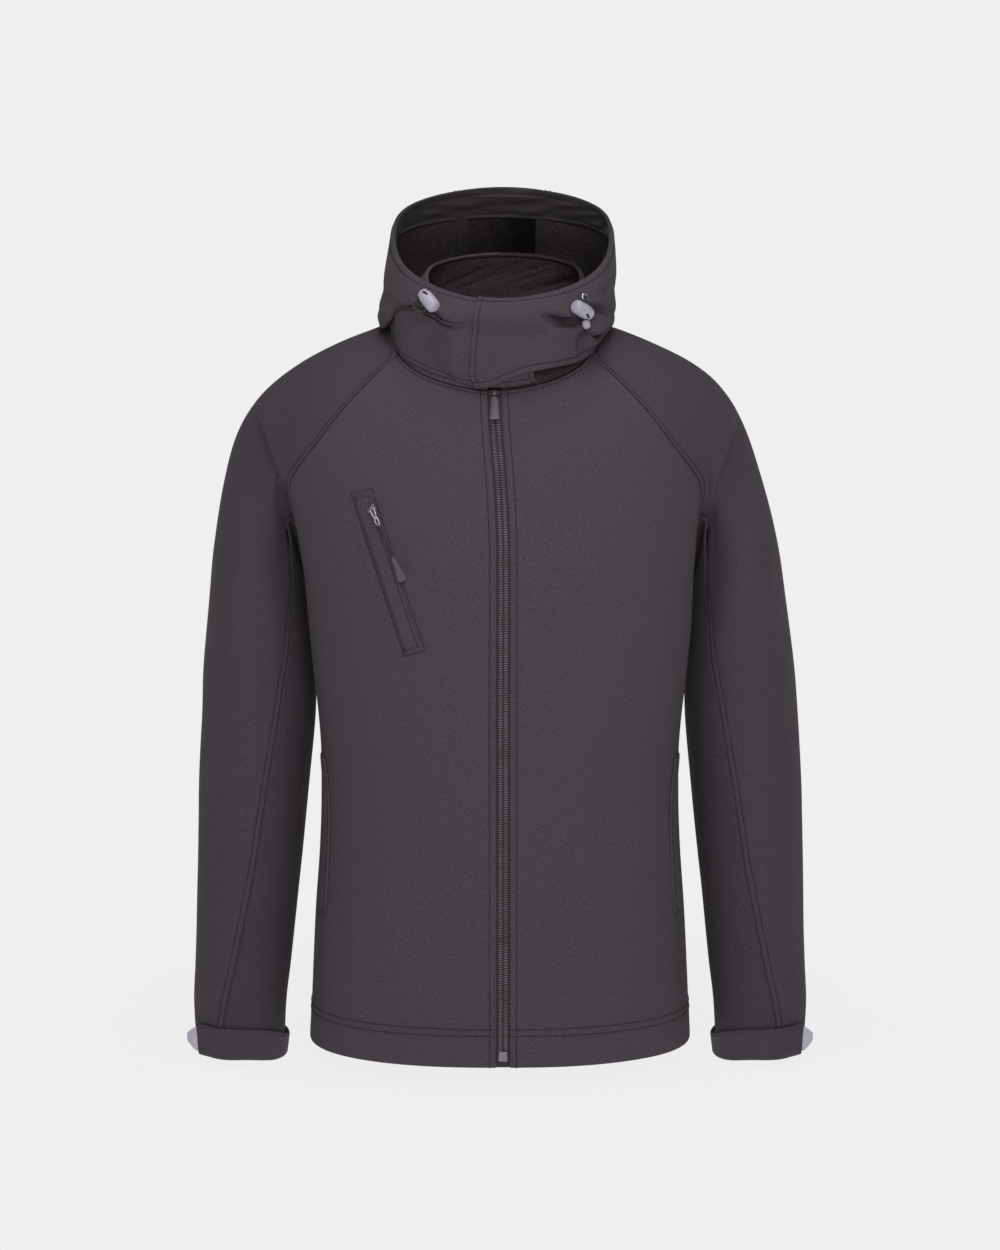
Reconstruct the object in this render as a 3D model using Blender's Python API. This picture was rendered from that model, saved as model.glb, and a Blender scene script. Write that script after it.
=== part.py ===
"""Hooded softshell jacket, standing open as if worn: hollow cloth walls cut as a maker cuts them.

Raglan body and sleeves, stand collar, three-panel hood with an overlapping front, zips, pockets,
cuff straps and the hood's draw cords. Lengths are millimetres until a mesh is made, heights run up
from the hem at the centre front, +X is the wearer's left and -Y the front.
"""
import math
from collections import namedtuple

import bpy
import numpy as np

MM = 0.001
ORIGIN_HEIGHT = 700.0        # the shoulders that carry the jacket, above the hem

# Cloth and seams
WALL = 2.0                   # softshell body, sleeves and hood
COLLAR_WALL = 2.6            # two layers
FACING_WALL = 1.2
TRIM_WALL = 1.5              # pocket welts
STRAP_WALL = 2.2             # two layers
SEAM_GAP = 0.3
SEAT_GAP = 0.35              # a piece that lies on another
TRIM_SEAT = 0.45             # a welt on a curved front
SECTION_POWER = 2.3          # 2 is an ellipse, more is squarer
SHOULDER_LEAN = -5.5         # the shoulders hang a little to the wearer's right
LEAN_FROM, LEAN_TO = 420.0, 600.0

# Body: one row per level
Level = namedtuple("Level", "height half_width side_depth front_depth back_depth")
TORSO = [
    Level(-6, 193, -5, -127, 119),
    Level(60, 189.5, -7, -128.5, 119),
    Level(125, 186, -8, -130, 118),
    Level(190, 181.5, -9, -131, 117),
    Level(250, 179.3, -10, -131.5, 117),
    Level(295, 179, -12, -132, 118),
    Level(340, 182, -15, -133, 120),
    Level(400, 188, -18, -134, 124),
    Level(450, 191, -22, -134.5, 127),
    Level(500, 196, -25, -133, 129),
    Level(538, 202.5, -23, -129, 129),
    Level(565, 208.5, -19, -124.5, 127.5),
    Level(596, 217, -12, -117, 124),
    Level(630, 225, -2, -106, 118),
    Level(653, 214, 5, -97.5, 112),
    Level(673, 188, 10, -87, 107),
    Level(693, 157, 13, -68, 100),
    Level(707, 126, 15, -50, 94),
    Level(717, 97, 15, -36, 86.5),
    Level(724, 78, 15, -28, 80),
]
UNDERARM_HEIGHT = 470.0
SIDE_SEAM_ANGLE = 107.0      # round the body from the centre front
NECK_FRONT_HEIGHT = 657.0
NECK_BACK_HEIGHT = 718.0
RAGLAN_FRONT_TOP = 690.0
RAGLAN_BACK_TOP = 717.0
NECK_ROUNDING = 2.2          # how late the neckline climbs from the centre front
NECK_SPREAD = 1.6
NECK_SPREAD_ONSET = 4
SeamPoint = namedtuple("SeamPoint", "height angle")
RAGLAN_FRONT = [
    SeamPoint(470, 107), SeamPoint(485, 102), SeamPoint(503, 96), SeamPoint(522, 89),
    SeamPoint(545, 81), SeamPoint(560, 75), SeamPoint(575, 65), SeamPoint(606, 48.5),
    SeamPoint(645, 36.5), SeamPoint(690, 32),
]
RAGLAN_BACK = [
    SeamPoint(470, 107), SeamPoint(490, 117), SeamPoint(515, 128), SeamPoint(543, 138), SeamPoint(575, 146),
    SeamPoint(610, 150), SeamPoint(650, 149), SeamPoint(690, 145), SeamPoint(717, 140),
]
NeckPoint = namedtuple("NeckPoint", "share height angle")
NECK_SIDE = [
    NeckPoint(0, 690, 32), NeckPoint(0.2, 704, 45), NeckPoint(0.36, 712, 62), NeckPoint(0.5, 716, 85),
    NeckPoint(0.75, 717, 115), NeckPoint(1, 717, 140),
]
HEM_ROWS = [-6, 40, 85, 135, 185, 230, 265, 300, 335, 375, 425]
RAGLAN_SHARES = [0, 0.05, 0.1, 0.15, 0.2, 0.3, 0.4, 0.5, 0.6, 0.7, 0.8, 0.9, 1.0]
RAGLAN_EASE = 0.95
FRONT_COLUMNS = 10
BACK_HALF_COLUMNS = 8

# Sleeve: a cap from the raglan seam to the arm, then one row per section of the arm
FRONT_TURN, BACK_TURN = 0.42, 0.58   # where the raglan seams meet the neckline
ArmSection = namedtuple(
    "ArmSection", "outer_x outer_height inner_x inner_height depth half_front half_back",
)
ARM = [
    ArmSection(268, 552, 192.5, 444, 33, 60, 68),
    ArmSection(281, 491, 190.5, 424, 35, 68, 70),
    ArmSection(288, 440, 188.5, 400, 35, 70, 70),
    ArmSection(297, 370, 186.5, 366, 33, 68, 68),
    ArmSection(301.5, 317, 187.5, 317, 30, 66, 66),
    ArmSection(305, 256, 192.5, 256, 25, 63, 63),
    ArmSection(306, 218, 196, 218, 20, 61, 61),
    ArmSection(306.8, 180, 200, 180, 15, 58, 58),
    ArmSection(307.5, 142, 204.5, 142, 11, 56, 56),
    ArmSection(308.3, 104, 208.6, 104, 8, 53.5, 53.5),
    ArmSection(309.5, 65, 213, 65, 4, 51, 51),
    ArmSection(311, 27, 217.5, 27, 0, 49, 49),
    ArmSection(309, -17, 219.5, -22, -3, 47, 47),
]
RIGHT_ARM_OUT = 5.0          # the wearer's right upper arm is held a little further out
RIGHT_ARM_FADE = (300.0, 420.0)
CAP_ROWS = 5                 # rows from the raglan seam to the first section
CAP_FULLNESS = 0.9           # how far the cloth runs on from the seam
CAP_SHOULDER = {-1: 0.36, 1: 0.54}           # and more at each shoulder
SHOULDER_WAY = np.array([0.9, 0.05, -0.39])
SHOULDER_TURNS = (0.1, 0.34)
UNDERARM_REACH = 0.14
UNDERARM_TURN = 0.6          # how soon the cloth turns away from the body at the underarm
SLEEVE_END = CAP_ROWS + len(ARM) - 1
SeamTurn = namedtuple("SeamTurn", "row front back")
UNDER_SLEEVE = [
    SeamTurn(0, 0.084, 0.084), SeamTurn(5, 0.11, 0.1), SeamTurn(7, 0.139, 0.12), SeamTurn(10, 0.2, 0.13),
    SeamTurn(12, 0.219, 0.14), SeamTurn(14, 0.25, 0.15), SeamTurn(17, 0.31, 0.16),
]
UNDER_SHARE = 0.2            # of the raglan seam, on the under sleeve
NECK_PIECE_COLUMNS = 4

# Cuff strap and its moulded end
STRAP_TOP, STRAP_BOTTOM = 9.0, -23.0
STRAP_START, STRAP_LEAVES = -0.08, 0.361     # turns round the sleeve
STRAP_RUN_ON = 13.0
STRAP_SEAT = 0.6
STRAP_STANDS_OFF = 1.6       # its upper edge, further off the sleeve
STRAP_TILT = 4.0             # its outer end sits higher, its inner side lower
STRAP_HEIGHTS = [STRAP_BOTTOM, -17.0, -8.0, STRAP_TOP]
STRAP_COLUMNS = 15
TabStation = namedtuple("TabStation", "run height_share")
TAB_STATIONS = [
    TabStation(0.35, 0.8), TabStation(4.0, 0.76), TabStation(10.0, 0.5), TabStation(15.0, 0.26),
]

# Collar and hood
COLLAR_SHIFT = 4.0
COLLAR_SEAT = 0.4
COLLAR_BULGE = 2.5
COLLAR_ROWS = 4
HoodRow = namedtuple(
    "HoodRow", "side_x side_height front_y front_height back_y back_height back_ease front_ease power",
)
COLLAR_RIM = HoodRow(77, 764, 82, 737, 76, 781, 1, 1, 2.4)
HOOD = [
    HoodRow(108, 719.5, 102.5, 670, 106, 719, 4, 1.4, 2.9),
    HoodRow(113, 721, 104, 678, 128, 702, 4, 1.38, 2.9),
    HoodRow(116, 725, 105.5, 688, 146, 662, 4, 1.35, 2.8),
    HoodRow(115.5, 731, 106.5, 698, 160, 622, 4.6, 1.3, 2.7),
    HoodRow(116, 738, 106, 707, 182, 602, 4.2, 1.28, 2.6),
    HoodRow(114.5, 746, 104.5, 714, 204, 616, 3.5, 1.24, 2.6),
    HoodRow(113.5, 754, 108, 720, 207, 660, 3, 1.2, 2.5),
    HoodRow(114, 762, 110, 727, 190, 714, 2.3, 1.15, 2.5),
    HoodRow(114, 772, 108.5, 733, 158, 763, 1.7, 1.1, 2.4),
    HoodRow(112, 787, 105, 739, 122, 806, 1.3, 1.05, 2.4),
    HoodRow(108, 806, 99, 744, 105, 846, 1, 1, 2.5),
]
HOOD_SHIFT_LOW, HOOD_SHIFT_BRIM = -5.0, 2.5
HOOD_SEAT_OUT, HOOD_SEAT_UP = 2.6, 2.6
HOOD_BRIM = float(len(HOOD))
HOOD_CENTRE_HALF = 44.0
HOOD_SEAM_GAP = 0.5
UNDER_END, FLAP_END = 20.0, -13.0            # degrees from the centre front
FLAP_BLEND = 42.0
FLAP_NODES = [-13, -5, 3, 11.5, 20]
FLAP_LIFT = WALL + 0.5
FLAP_HEM_RISE = 1.4          # rows at the lower edge
FLAP_HEM_FADE = 4.0          # rows
FLAP_HEM_ENDS = 60.0         # degrees
HOOD_SIDE_COLUMNS = 12
HOOD_CENTRE_COLUMNS = 5
FACING_LOW_ROW = 10.25
FACING_ROWS = 2
FACING_SKIPS = 1
FACING_GAP = 0.75

# Main zip
ZipPoint = namedtuple("ZipPoint", "height x")
ZIP_LINE = [
    ZipPoint(0, 3), ZipPoint(300, 3), ZipPoint(500, 3.2), ZipPoint(560, 1), ZipPoint(626, -4.3),
    ZipPoint(662, -5.8),
]
ZIP_HALF = 6.5
ZIP_TEETH_HALF = 3.0
ZIP_TEETH_RISE = 0.8
ZIP_RECESS = 0.6
ZIP_WALL = 2.2
ZIP_BOX_LOW, ZIP_BOX_HIGH = 1.0, 11.0
ZIP_BOX_HALF, ZIP_BOX_RISE = 4.4, 2.0
MAIN_PIN_HEIGHT = 651.5
PullStep = namedtuple("PullStep", "drop width")
MAIN_PULL = [PullStep(3, 4.4), PullStep(7, 6.4), PullStep(23, 9.4), PullStep(25, 7.4)]

# Chest pocket, on the wearer's right front
CHEST_TOP, CHEST_BOTTOM = (-131.4, 557.0), (-83.2, 410.3)           # mid line of the stitched frame
CHEST_WELT_HALF = 6.9
CHEST_WELT_SHIFT = -2.3
CHEST_ZIP_HALF = 1.5
CHEST_ZIP_SHIFT = 6.5
CHEST_ZIP_WALL = 1.0
CHEST_ZIP_FROM, CHEST_ZIP_TO = 0.03, 0.97     # shares of the frame's length
CHEST_ROWS = 7
CHEST_SLIDER_AT = 0.1
CHEST_PULL_SWING = 8.0
CHEST_PULL = [
    PullStep(3, 3.6), PullStep(10, 3.4), PullStep(16, 2.2), PullStep(48, 2.2), PullStep(52, 5),
    PullStep(72, 8), PullStep(75, 5),
]

# Side pockets
POCKET_TOP, POCKET_BOTTOM = 292.0, 132.0
POCKET_ANGLE, POCKET_SPAN = 67.0, 8.0
POCKET_CURVE = 7.0
POCKET_BEND_ONSET = 6
POCKET_ROWS = 6
POCKET_SEAT = 0.65

# Draw cord fittings on the hood, by row and degrees
Fitting = namedtuple("Fitting", "row angle tilt seat")
EYELETS = {"right": Fitting(9.25, -43.0, 0, -0.13), "left": Fitting(9.1, 43.0, 0, 0.55)}
EyeletEdge = namedtuple("EyeletEdge", "radius out")
EYELET = [EyeletEdge(1.7, 0), EyeletEdge(4.0, 0), EyeletEdge(3.5, 0.95), EyeletEdge(2.5, 1.2)]
EYELET_SIDES = 16
LOCKS = {"right": Fitting(8.95, -35.0, 128.0, 0.0), "left": Fitting(7.85, 39.0, -22.0, -0.15)}
TurnedStep = namedtuple("TurnedStep", "along radius")
LOCK_RADIUS, LOCK_WAIST = 6.8, 5.0
LOCK = [
    TurnedStep(-12, 3.6), TurnedStep(-11.3, 5.4), TurnedStep(-9.5, 6.6), TurnedStep(3.5, LOCK_RADIUS),
    TurnedStep(4.7, 6.3), TurnedStep(5.0, LOCK_WAIST), TurnedStep(10.4, LOCK_WAIST), TurnedStep(12, 3.6),
]
LOCK_SIDES = 14
CORD_DIAMETER = 2.6
CORD_STEPS = 2               # points between two route points
RoutePoint = namedtuple("RoutePoint", "across out along")
CORD_LOOP = [
    RoutePoint(8.0, 0, 5.35), RoutePoint(8.0, 0, 11.0), RoutePoint(4.0, -0.4, 15.5),
    RoutePoint(-2.0, -0.4, 15.5), RoutePoint(-5.6, 0, 12.0), RoutePoint(-5.8, 0, 7.05),
]
CORD_LEAD = [
    RoutePoint(0, 0.1, 0), RoutePoint(-0.2, 2.6, -0.4), RoutePoint(-2.2, 4.4, -3.6),
    RoutePoint(-4.9, 4.5, -7.0),
]
CORD_END_HALF = 4.3
CORD_END = [
    TurnedStep(-CORD_END_HALF, 2.0), TurnedStep(-3.4, 3.4), TurnedStep(0, 4.0), TurnedStep(3.4, 3.4),
    TurnedStep(CORD_END_HALF, 2.0),
]
CORD_END_ALONG, CORD_END_TURN = 9.0, -50.0   # along the lock, and degrees from its axis

# Slider sizes
SLIDER_WIDTH, SLIDER_LENGTH, SLIDER_BASE = 8.4, 11.0, 2.2
PIN_RADIUS, PIN_STANDS = 1.0, 5.1
LUG_NEAR, LUG_WIDTH = 3.2, 1.2
LUG_HALF, LUG_SINK, LUG_TOP = 1.8, 0.4, 1.6
EYE_OUTER, EYE_INNER = 2.4, 1.4
EYE_HALF, EYE_STEPS = 1.9, 11
EYE_FROM, EYE_TO = -35.0, 245.0
PULL_WALL = 2.0


def clear_scene():
    for item in list(bpy.data.objects):
        bpy.data.objects.remove(item, do_unlink=True)


def finish(name, colour, roughness, metallic=0.0):
    material = bpy.data.materials.new(name)
    material.use_nodes = True
    shader = material.node_tree.nodes["Principled BSDF"]
    shader.inputs["Base Color"].default_value = (*colour, 1.0)
    shader.inputs["Roughness"].default_value = roughness
    shader.inputs["Metallic"].default_value = metallic
    return material


# Tables and curves
def table(rows):
    """A smooth function through the rows: the first column drives the others, without overshoot."""
    data = np.array(rows, float)
    keys, values = data[:, 0], data[:, 1:]
    steps = np.diff(keys)
    slopes = np.diff(values, axis=0) / steps[:, None]
    tangents = np.zeros_like(values)
    tangents[0], tangents[-1] = slopes[0], slopes[-1]
    for k in range(1, len(keys) - 1):
        before, after = slopes[k - 1], slopes[k]
        same = before * after > 0
        total = np.where(same, before + after, 1.0)
        tangents[k] = np.where(same, 2.0 * before * after / total, 0.0)

    def read(key):
        k = int(np.clip(np.searchsorted(keys, key) - 1, 0, len(steps) - 1))
        t = (min(max(key, keys[0]), keys[-1]) - keys[k]) / steps[k]
        a = (1 + 2 * t) * (1 - t) ** 2
        b = t * (1 - t) ** 2 * steps[k]
        c = t * t * (3 - 2 * t)
        d = t * t * (t - 1) * steps[k]
        return a * values[k] + b * tangents[k] + c * values[k + 1] + d * tangents[k + 1]

    return read


def signed_power(value, power):
    return math.copysign(abs(value) ** power, value)


def smooth_step(low, high, value):
    t = min(max((value - low) / (high - low), 0.0), 1.0)
    return t * t * (3 - 2 * t)


def through(points, share):
    """A point of the curve through four points, between the middle two, spaced by their chords."""
    a, b, c, d = points
    gaps = [max(np.linalg.norm(q - p), 1e-3) for p, q in ((a, b), (b, c), (c, d))]
    before, mid, after = gaps
    leave = ((b - a) / before * mid + (c - b) / mid * before) / (before + mid)
    arrive = ((c - b) / mid * after + (d - c) / after * mid) / (mid + after)
    t = share
    return ((1 + 2 * t) * (1 - t) ** 2 * b + t * (1 - t) ** 2 * mid * leave
            + t * t * (3 - 2 * t) * c + t * t * (t - 1) * mid * arrive)


def unit(vector):
    return vector / np.linalg.norm(vector)


def normal(form, p, q, dp, dq):
    along = form(p + dp, q) - form(p - dp, q)
    across = form(p, q + dq) - form(p, q - dq)
    return unit(np.cross(along, across))


# Forms
torso_level = table(TORSO)
raglan_front = table(RAGLAN_FRONT)
raglan_back = table(RAGLAN_BACK)
neck_side = table(NECK_SIDE)
under_sleeve = table(UNDER_SLEEVE)
zip_line = table(ZIP_LINE)


def lean(height):
    return SHOULDER_LEAN * smooth_step(LEAN_FROM, LEAN_TO, height)


def torso(side, height, angle):
    """The body's form: side is 1 for the wearer's left, the angle runs from the centre front."""
    half_width, side_depth, front_depth, back_depth = torso_level(height)
    power = 2.0 / SECTION_POWER
    turn = math.radians(angle)
    across = signed_power(math.sin(turn), power)
    along = signed_power(math.cos(turn), power)
    reach = side_depth - front_depth if along > 0 else back_depth - side_depth
    return np.array([side * half_width * across + lean(height), side_depth - reach * along, height])


def torso_normal(side, height, angle):
    return side * normal(lambda h, a: torso(side, h, a), height, angle, -0.5, 0.25)


def torso_angle(side, height, x):
    """The angle at which the front of the body's form has this x."""
    share = max(side * (x - lean(height)), 0.0) / torso_level(height)[0]
    return math.degrees(math.asin(min(share, 1.0) ** (SECTION_POWER / 2.0)))


def raglan_height(top, share):
    return UNDERARM_HEIGHT + (top - UNDERARM_HEIGHT) * share ** RAGLAN_EASE


def raglan_loop(turn):
    """Height and angle on the body's form of the sleeve's upper edge, from the underarm round."""
    if turn <= FRONT_TURN:
        height = raglan_height(RAGLAN_FRONT_TOP, turn / FRONT_TURN)
        return np.array([height, raglan_front(height)[0]])
    if turn < BACK_TURN:
        return neck_side((turn - FRONT_TURN) / (BACK_TURN - FRONT_TURN))
    height = raglan_height(RAGLAN_BACK_TOP, (1 - turn) / (1 - BACK_TURN))
    return np.array([height, raglan_back(height)[0]])


def raglan_point(side, turn):
    return torso(side, *raglan_loop(turn % 1.0))


def raglan_facing(side, turn):
    return torso_normal(side, *raglan_loop(turn % 1.0))


def raglan_leave(side, turn, step):
    """The way into the sleeve, square to the raglan seam."""
    along = raglan_point(side, turn + step) - raglan_point(side, turn - step)
    return unit(np.cross(along, raglan_facing(side, turn))) * side


def arm_ring(side, section, turn):
    swing = math.radians(180.0 - 360.0 * turn)
    across, along = math.cos(swing), math.sin(swing)
    depth = section.half_front if along > 0 else section.half_back
    outer_x = section.outer_x
    if side < 0:
        outer_x += RIGHT_ARM_OUT * smooth_step(*RIGHT_ARM_FADE, section.outer_height)
    x = 0.5 * (outer_x + section.inner_x) + 0.5 * (outer_x - section.inner_x) * across
    height = 0.5 * (section.outer_height + section.inner_height)
    height += 0.5 * (section.outer_height - section.inner_height) * across
    return np.array([side * x + lean(height), section.depth - depth * along, height])


def sleeve_cap(side, share, turn):
    """From the raglan seam, along the body's form, over into the arm."""
    start = raglan_point(side, turn)
    stop = arm_ring(side, ARM[0], turn)
    place = min(turn % 1.0, 1 - turn % 1.0)
    near = UNDERARM_TURN * (1 - smooth_step(0, UNDERARM_REACH, place))
    over = smooth_step(*SHOULDER_TURNS, place)
    facing = raglan_facing(side, turn)
    leave = raglan_leave(side, turn, 0.02) * (1 - over) + SHOULDER_WAY * np.array([side, 1, 1]) * over
    leave = unit(leave - facing * np.dot(leave, facing))
    leave = unit(leave * (1 - near) + np.array([side, 0, 0]) * near)
    arrive = unit(arm_ring(side, ARM[1], turn) - stop)
    reach = np.linalg.norm(stop - start) * (CAP_FULLNESS + CAP_SHOULDER[side] * math.sin(math.pi * turn) ** 2)
    t = share
    return ((1 + 2 * t) * (1 - t) ** 2 * start + t * (1 - t) ** 2 * reach * leave
            + t * t * (3 - 2 * t) * stop + t * t * (t - 1) * reach * arrive)


def sleeve(side, row, turn):
    """The sleeve's form: row 0 is the raglan seam, the last row its end, turns start at the underarm."""
    if row <= CAP_ROWS:
        return sleeve_cap(side, row / CAP_ROWS, turn)
    k = min(int(row), SLEEVE_END - 1)
    rows = []
    for i in range(k - 1, k + 3):
        if i < CAP_ROWS:
            rows.append(sleeve_cap(side, i / CAP_ROWS, turn))
        else:
            rows.append(arm_ring(side, ARM[min(i, SLEEVE_END) - CAP_ROWS], turn))
    if k + 2 > SLEEVE_END:
        rows[3] = 2 * rows[2] - rows[1]
    return through(rows, row - k)


def hood_ring(level, angle):
    turn = math.radians(angle)
    across, along = math.sin(turn), math.cos(turn)
    ahead = along > 0
    depth = level.front_y if ahead else level.back_y
    span = (abs(across) / level.side_x) ** level.power + (abs(along) / depth) ** level.power
    radius = span ** (-1.0 / level.power)
    ease = level.front_ease if ahead else level.back_ease
    target = level.front_height if ahead else level.back_height
    height = level.side_height + (target - level.side_height) * abs(along) ** ease
    return np.array([radius * across, -radius * along, height])


def hood_row(neck, row, angle):
    if row == 0:
        return neck_at(neck, angle, HOOD_SEAT_OUT, HOOD_SEAT_UP)
    point = hood_ring(HOOD[row - 1], angle)
    share = (row - 1) / (len(HOOD) - 1)
    point[0] += HOOD_SHIFT_LOW + (HOOD_SHIFT_BRIM - HOOD_SHIFT_LOW) * share
    return point


def hood(neck, row, angle):
    """The hood's form: row 0 sits round the neck seam, the last row is the rim of the face opening."""
    last = len(HOOD)
    k = int(min(max(row, 0), last - 1e-9))
    rows = [hood_row(neck, min(max(i, 0), last), angle) for i in range(k - 1, k + 3)]
    if k == 0:
        rows[0] = 2 * rows[1] - rows[2]
    if k + 2 > last:
        rows[3] = 2 * rows[2] - rows[1]
    return through(rows, row - k)


def neck_at(neck, angle, out, up):
    """The neck seam's point in this direction, moved out and up."""
    angles = np.degrees(np.arctan2(neck[:, 0], -neck[:, 1]))
    order = np.argsort(angles)
    angles, points = angles[order], neck[order]
    wrapped = (angle + 180.0) % 360.0 - 180.0
    point = np.array([np.interp(wrapped, angles, points[:, i], period=360.0) for i in range(3)])
    away = unit(np.array([point[0], point[1], 0.0]))
    return point + away * out + np.array([0, 0, up])


def collar_top(angle):
    return hood_ring(COLLAR_RIM, angle) + np.array([COLLAR_SHIFT, 0, 0])


# Meshes
def metres(points):
    scaled = np.array(points, float) * MM
    scaled[..., 2] -= ORIGIN_HEIGHT * MM
    return scaled


def add_object(name, vertices, faces, material, origin=None, smooth=True):
    mesh = bpy.data.meshes.new(name)
    at = np.zeros(3) if origin is None else metres(origin)
    mesh.from_pydata([tuple(v) for v in metres(vertices) - at], [], faces)
    mesh.materials.append(material)
    mesh.validate()
    if smooth:
        mesh.shade_smooth()
        mesh.set_sharp_from_angle(angle=math.radians(40))
    item = bpy.data.objects.new(name, mesh)
    item.location = at
    bpy.context.scene.collection.objects.link(item)
    return item


def volume(vertices, faces):
    total = 0.0
    for face in faces:
        a = vertices[face[0]]
        for i in range(1, len(face) - 1):
            total += np.dot(a, np.cross(vertices[face[i]], vertices[face[i + 1]]))
    return total


def halves(vertices, a, b, d, e):
    """The two triangles of a four-sided cell, cut along its shorter diagonal."""
    if np.linalg.norm(vertices[b] - vertices[e]) < np.linalg.norm(vertices[a] - vertices[d]):
        return [(a, b, e), (b, d, e)]
    return [(a, b, d), (a, d, e)]


def wall(name, outer, inner, material):
    """A closed wall between two grids of points."""
    rows, columns = outer.shape[:2]
    count = rows * columns
    vertices = np.concatenate([outer.reshape(-1, 3), inner.reshape(-1, 3)])
    faces = []
    for r in range(rows - 1):
        for c in range(columns - 1):
            a, b = r * columns + c, r * columns + c + 1
            d, e = b + columns, a + columns
            for one, two, three in halves(vertices, a, b, d, e):
                faces.append((one, two, three))
                faces.append((three + count, two + count, one + count))
    rim = [r * columns for r in range(rows)]
    rim += [(rows - 1) * columns + c for c in range(1, columns)]
    rim += [r * columns + columns - 1 for r in range(rows - 2, -1, -1)]
    rim += [c for c in range(columns - 2, 0, -1)]
    for a, b in zip(rim, rim[1:] + rim[:1]):
        faces += halves(vertices, a, b, b + count, a + count)
    if volume(vertices, faces) < 0:
        faces = [tuple(reversed(face)) for face in faces]
    return add_object(name, vertices, faces, material)


def pull_in(grid, edges, gap=SEAM_GAP):
    """Draws the named edges of a grid back by half a seam gap."""
    half = 0.5 * gap
    moved = grid.copy()
    for edge in edges:
        here, inside = {
            "top": (np.s_[-1], np.s_[-2]), "bottom": (np.s_[0], np.s_[1]),
            "start": (np.s_[:, 0], np.s_[:, 1]), "end": (np.s_[:, -1], np.s_[:, -2]),
        }[edge]
        way = grid[inside] - grid[here]
        moved[here] += half * way / np.linalg.norm(way, axis=-1, keepdims=True)
    return moved


def cloth_panel(name, points, normals, thickness, edges, material, lift=0.0, gap=SEAM_GAP):
    outer = pull_in(points, edges, gap) + normals * np.asarray(lift)[..., None]
    return wall(name, outer, outer - normals * thickness, material)


def grid_of(form, params):
    return np.array([[form(p, q) for p, q in row] for row in params])


# Body panels
def edge_heights(top):
    return HEM_ROWS + [raglan_height(top, share) for share in RAGLAN_SHARES]


def torso_normals(side, params):
    return np.array([[torso_normal(side, h, a) for h, a in row] for row in params])


def edge_angle(seam, height):
    return SIDE_SEAM_ANGLE if height <= UNDERARM_HEIGHT else seam(height)[0]


def front_heights():
    return [h * NECK_FRONT_HEIGHT / RAGLAN_FRONT_TOP for h in edge_heights(RAGLAN_FRONT_TOP)]


def front_params(side):
    rows = []
    for centre, edge in zip(front_heights(), edge_heights(RAGLAN_FRONT_TOP)):
        spread = 1 + (NECK_SPREAD - 1) * (edge / RAGLAN_FRONT_TOP) ** NECK_SPREAD_ONSET
        start = torso_angle(side, centre, zip_line(centre)[0] + side * ZIP_HALF)
        stop = edge_angle(raglan_front, edge)
        row = []
        for c in range(FRONT_COLUMNS + 1):
            share = c / FRONT_COLUMNS
            height = centre + (edge - centre) * share ** NECK_ROUNDING
            row.append((height, start + (stop - start) * share ** spread))
        rows.append(row)
    return rows


def make_front(name, side, material):
    params = front_params(side)
    points = grid_of(lambda h, a: torso(side, h, a), params)
    cloth_panel(name, points, torso_normals(side, params), WALL, ("start", "end", "top"), material)
    return points[-1]


def make_back(material):
    shares = [c / BACK_HALF_COLUMNS for c in range(BACK_HALF_COLUMNS + 1)]
    points, normals = [], []
    for edge in edge_heights(RAGLAN_BACK_TOP):
        centre = edge * NECK_BACK_HEIGHT / RAGLAN_BACK_TOP
        stop = edge_angle(raglan_back, edge)
        line, facing = [], []
        for side, part in ((-1, shares[:0:-1]), (1, shares)):
            params = [[(centre + (edge - centre) * s ** NECK_ROUNDING, 180 - (180 - stop) * s) for s in part]]
            line += list(grid_of(lambda h, a: torso(side, h, a), params)[0])
            facing += list(torso_normals(side, params)[0])
        points.append(line)
        normals.append(facing)
    points, normals = np.array(points), np.array(normals)
    cloth_panel("back", points, normals, WALL, ("start", "end", "top"), material)
    return points[-1]


# Sleeves
def sleeve_normal(side, row, turn):
    held = min(max(row, 0.05), SLEEVE_END - 0.02)
    facing = side * normal(lambda r, t: sleeve(side, r, t), held, turn, 0.02, 0.004)
    return unit(facing + raglan_facing(side, turn)) if row == 0 else facing


def sleeve_panel(name, side, turns_at, material):
    params = [[(r, t) for t in turns_at(r)] for r in range(SLEEVE_END + 1)]
    points = grid_of(lambda r, t: sleeve(side, r, t), params)
    normals = np.array([[sleeve_normal(side, r, t) for r, t in row] for row in params])
    eased = points.copy()
    eased[0] += [raglan_leave(side, t, 0.004) * 0.5 * SEAM_GAP for t in turns_at(0)]
    cloth_panel(name, eased, normals, WALL, ("start", "end"), material)
    return points


def make_sleeve(label, side, material):
    under_shares = [s for s in RAGLAN_SHARES if s <= UNDER_SHARE]
    upper_shares = [s for s in RAGLAN_SHARES if s >= UNDER_SHARE]
    first = [FRONT_TURN * s for s in upper_shares]
    step = (BACK_TURN - FRONT_TURN) / NECK_PIECE_COLUMNS
    neck = [FRONT_TURN + step * i for i in range(1, NECK_PIECE_COLUMNS)]
    last = [1 - (1 - BACK_TURN) * s for s in reversed(upper_shares)]
    upper = np.array(first + neck + last)
    under_back = [-(1 - BACK_TURN) * s for s in reversed(under_shares)]
    under = np.array(under_back + [FRONT_TURN * s for s in under_shares[1:]])

    def spread(base, start, stop):
        share = (base - base[0]) / (base[-1] - base[0])
        return start + share * (stop - start)

    def upper_turns(row):
        front, back = under_sleeve(row)
        return upper if row == 0 else spread(upper, front, 1 - back)

    def under_turns(row):
        front, back = under_sleeve(row)
        return under if row == 0 else spread(under, -back, front)

    points = sleeve_panel("sleeve_upper_" + label, side, upper_turns, material)
    sleeve_panel("sleeve_under_" + label, side, under_turns, material)
    start = len(first) - 1
    return points[0, start:start + NECK_PIECE_COLUMNS + 1]


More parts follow.
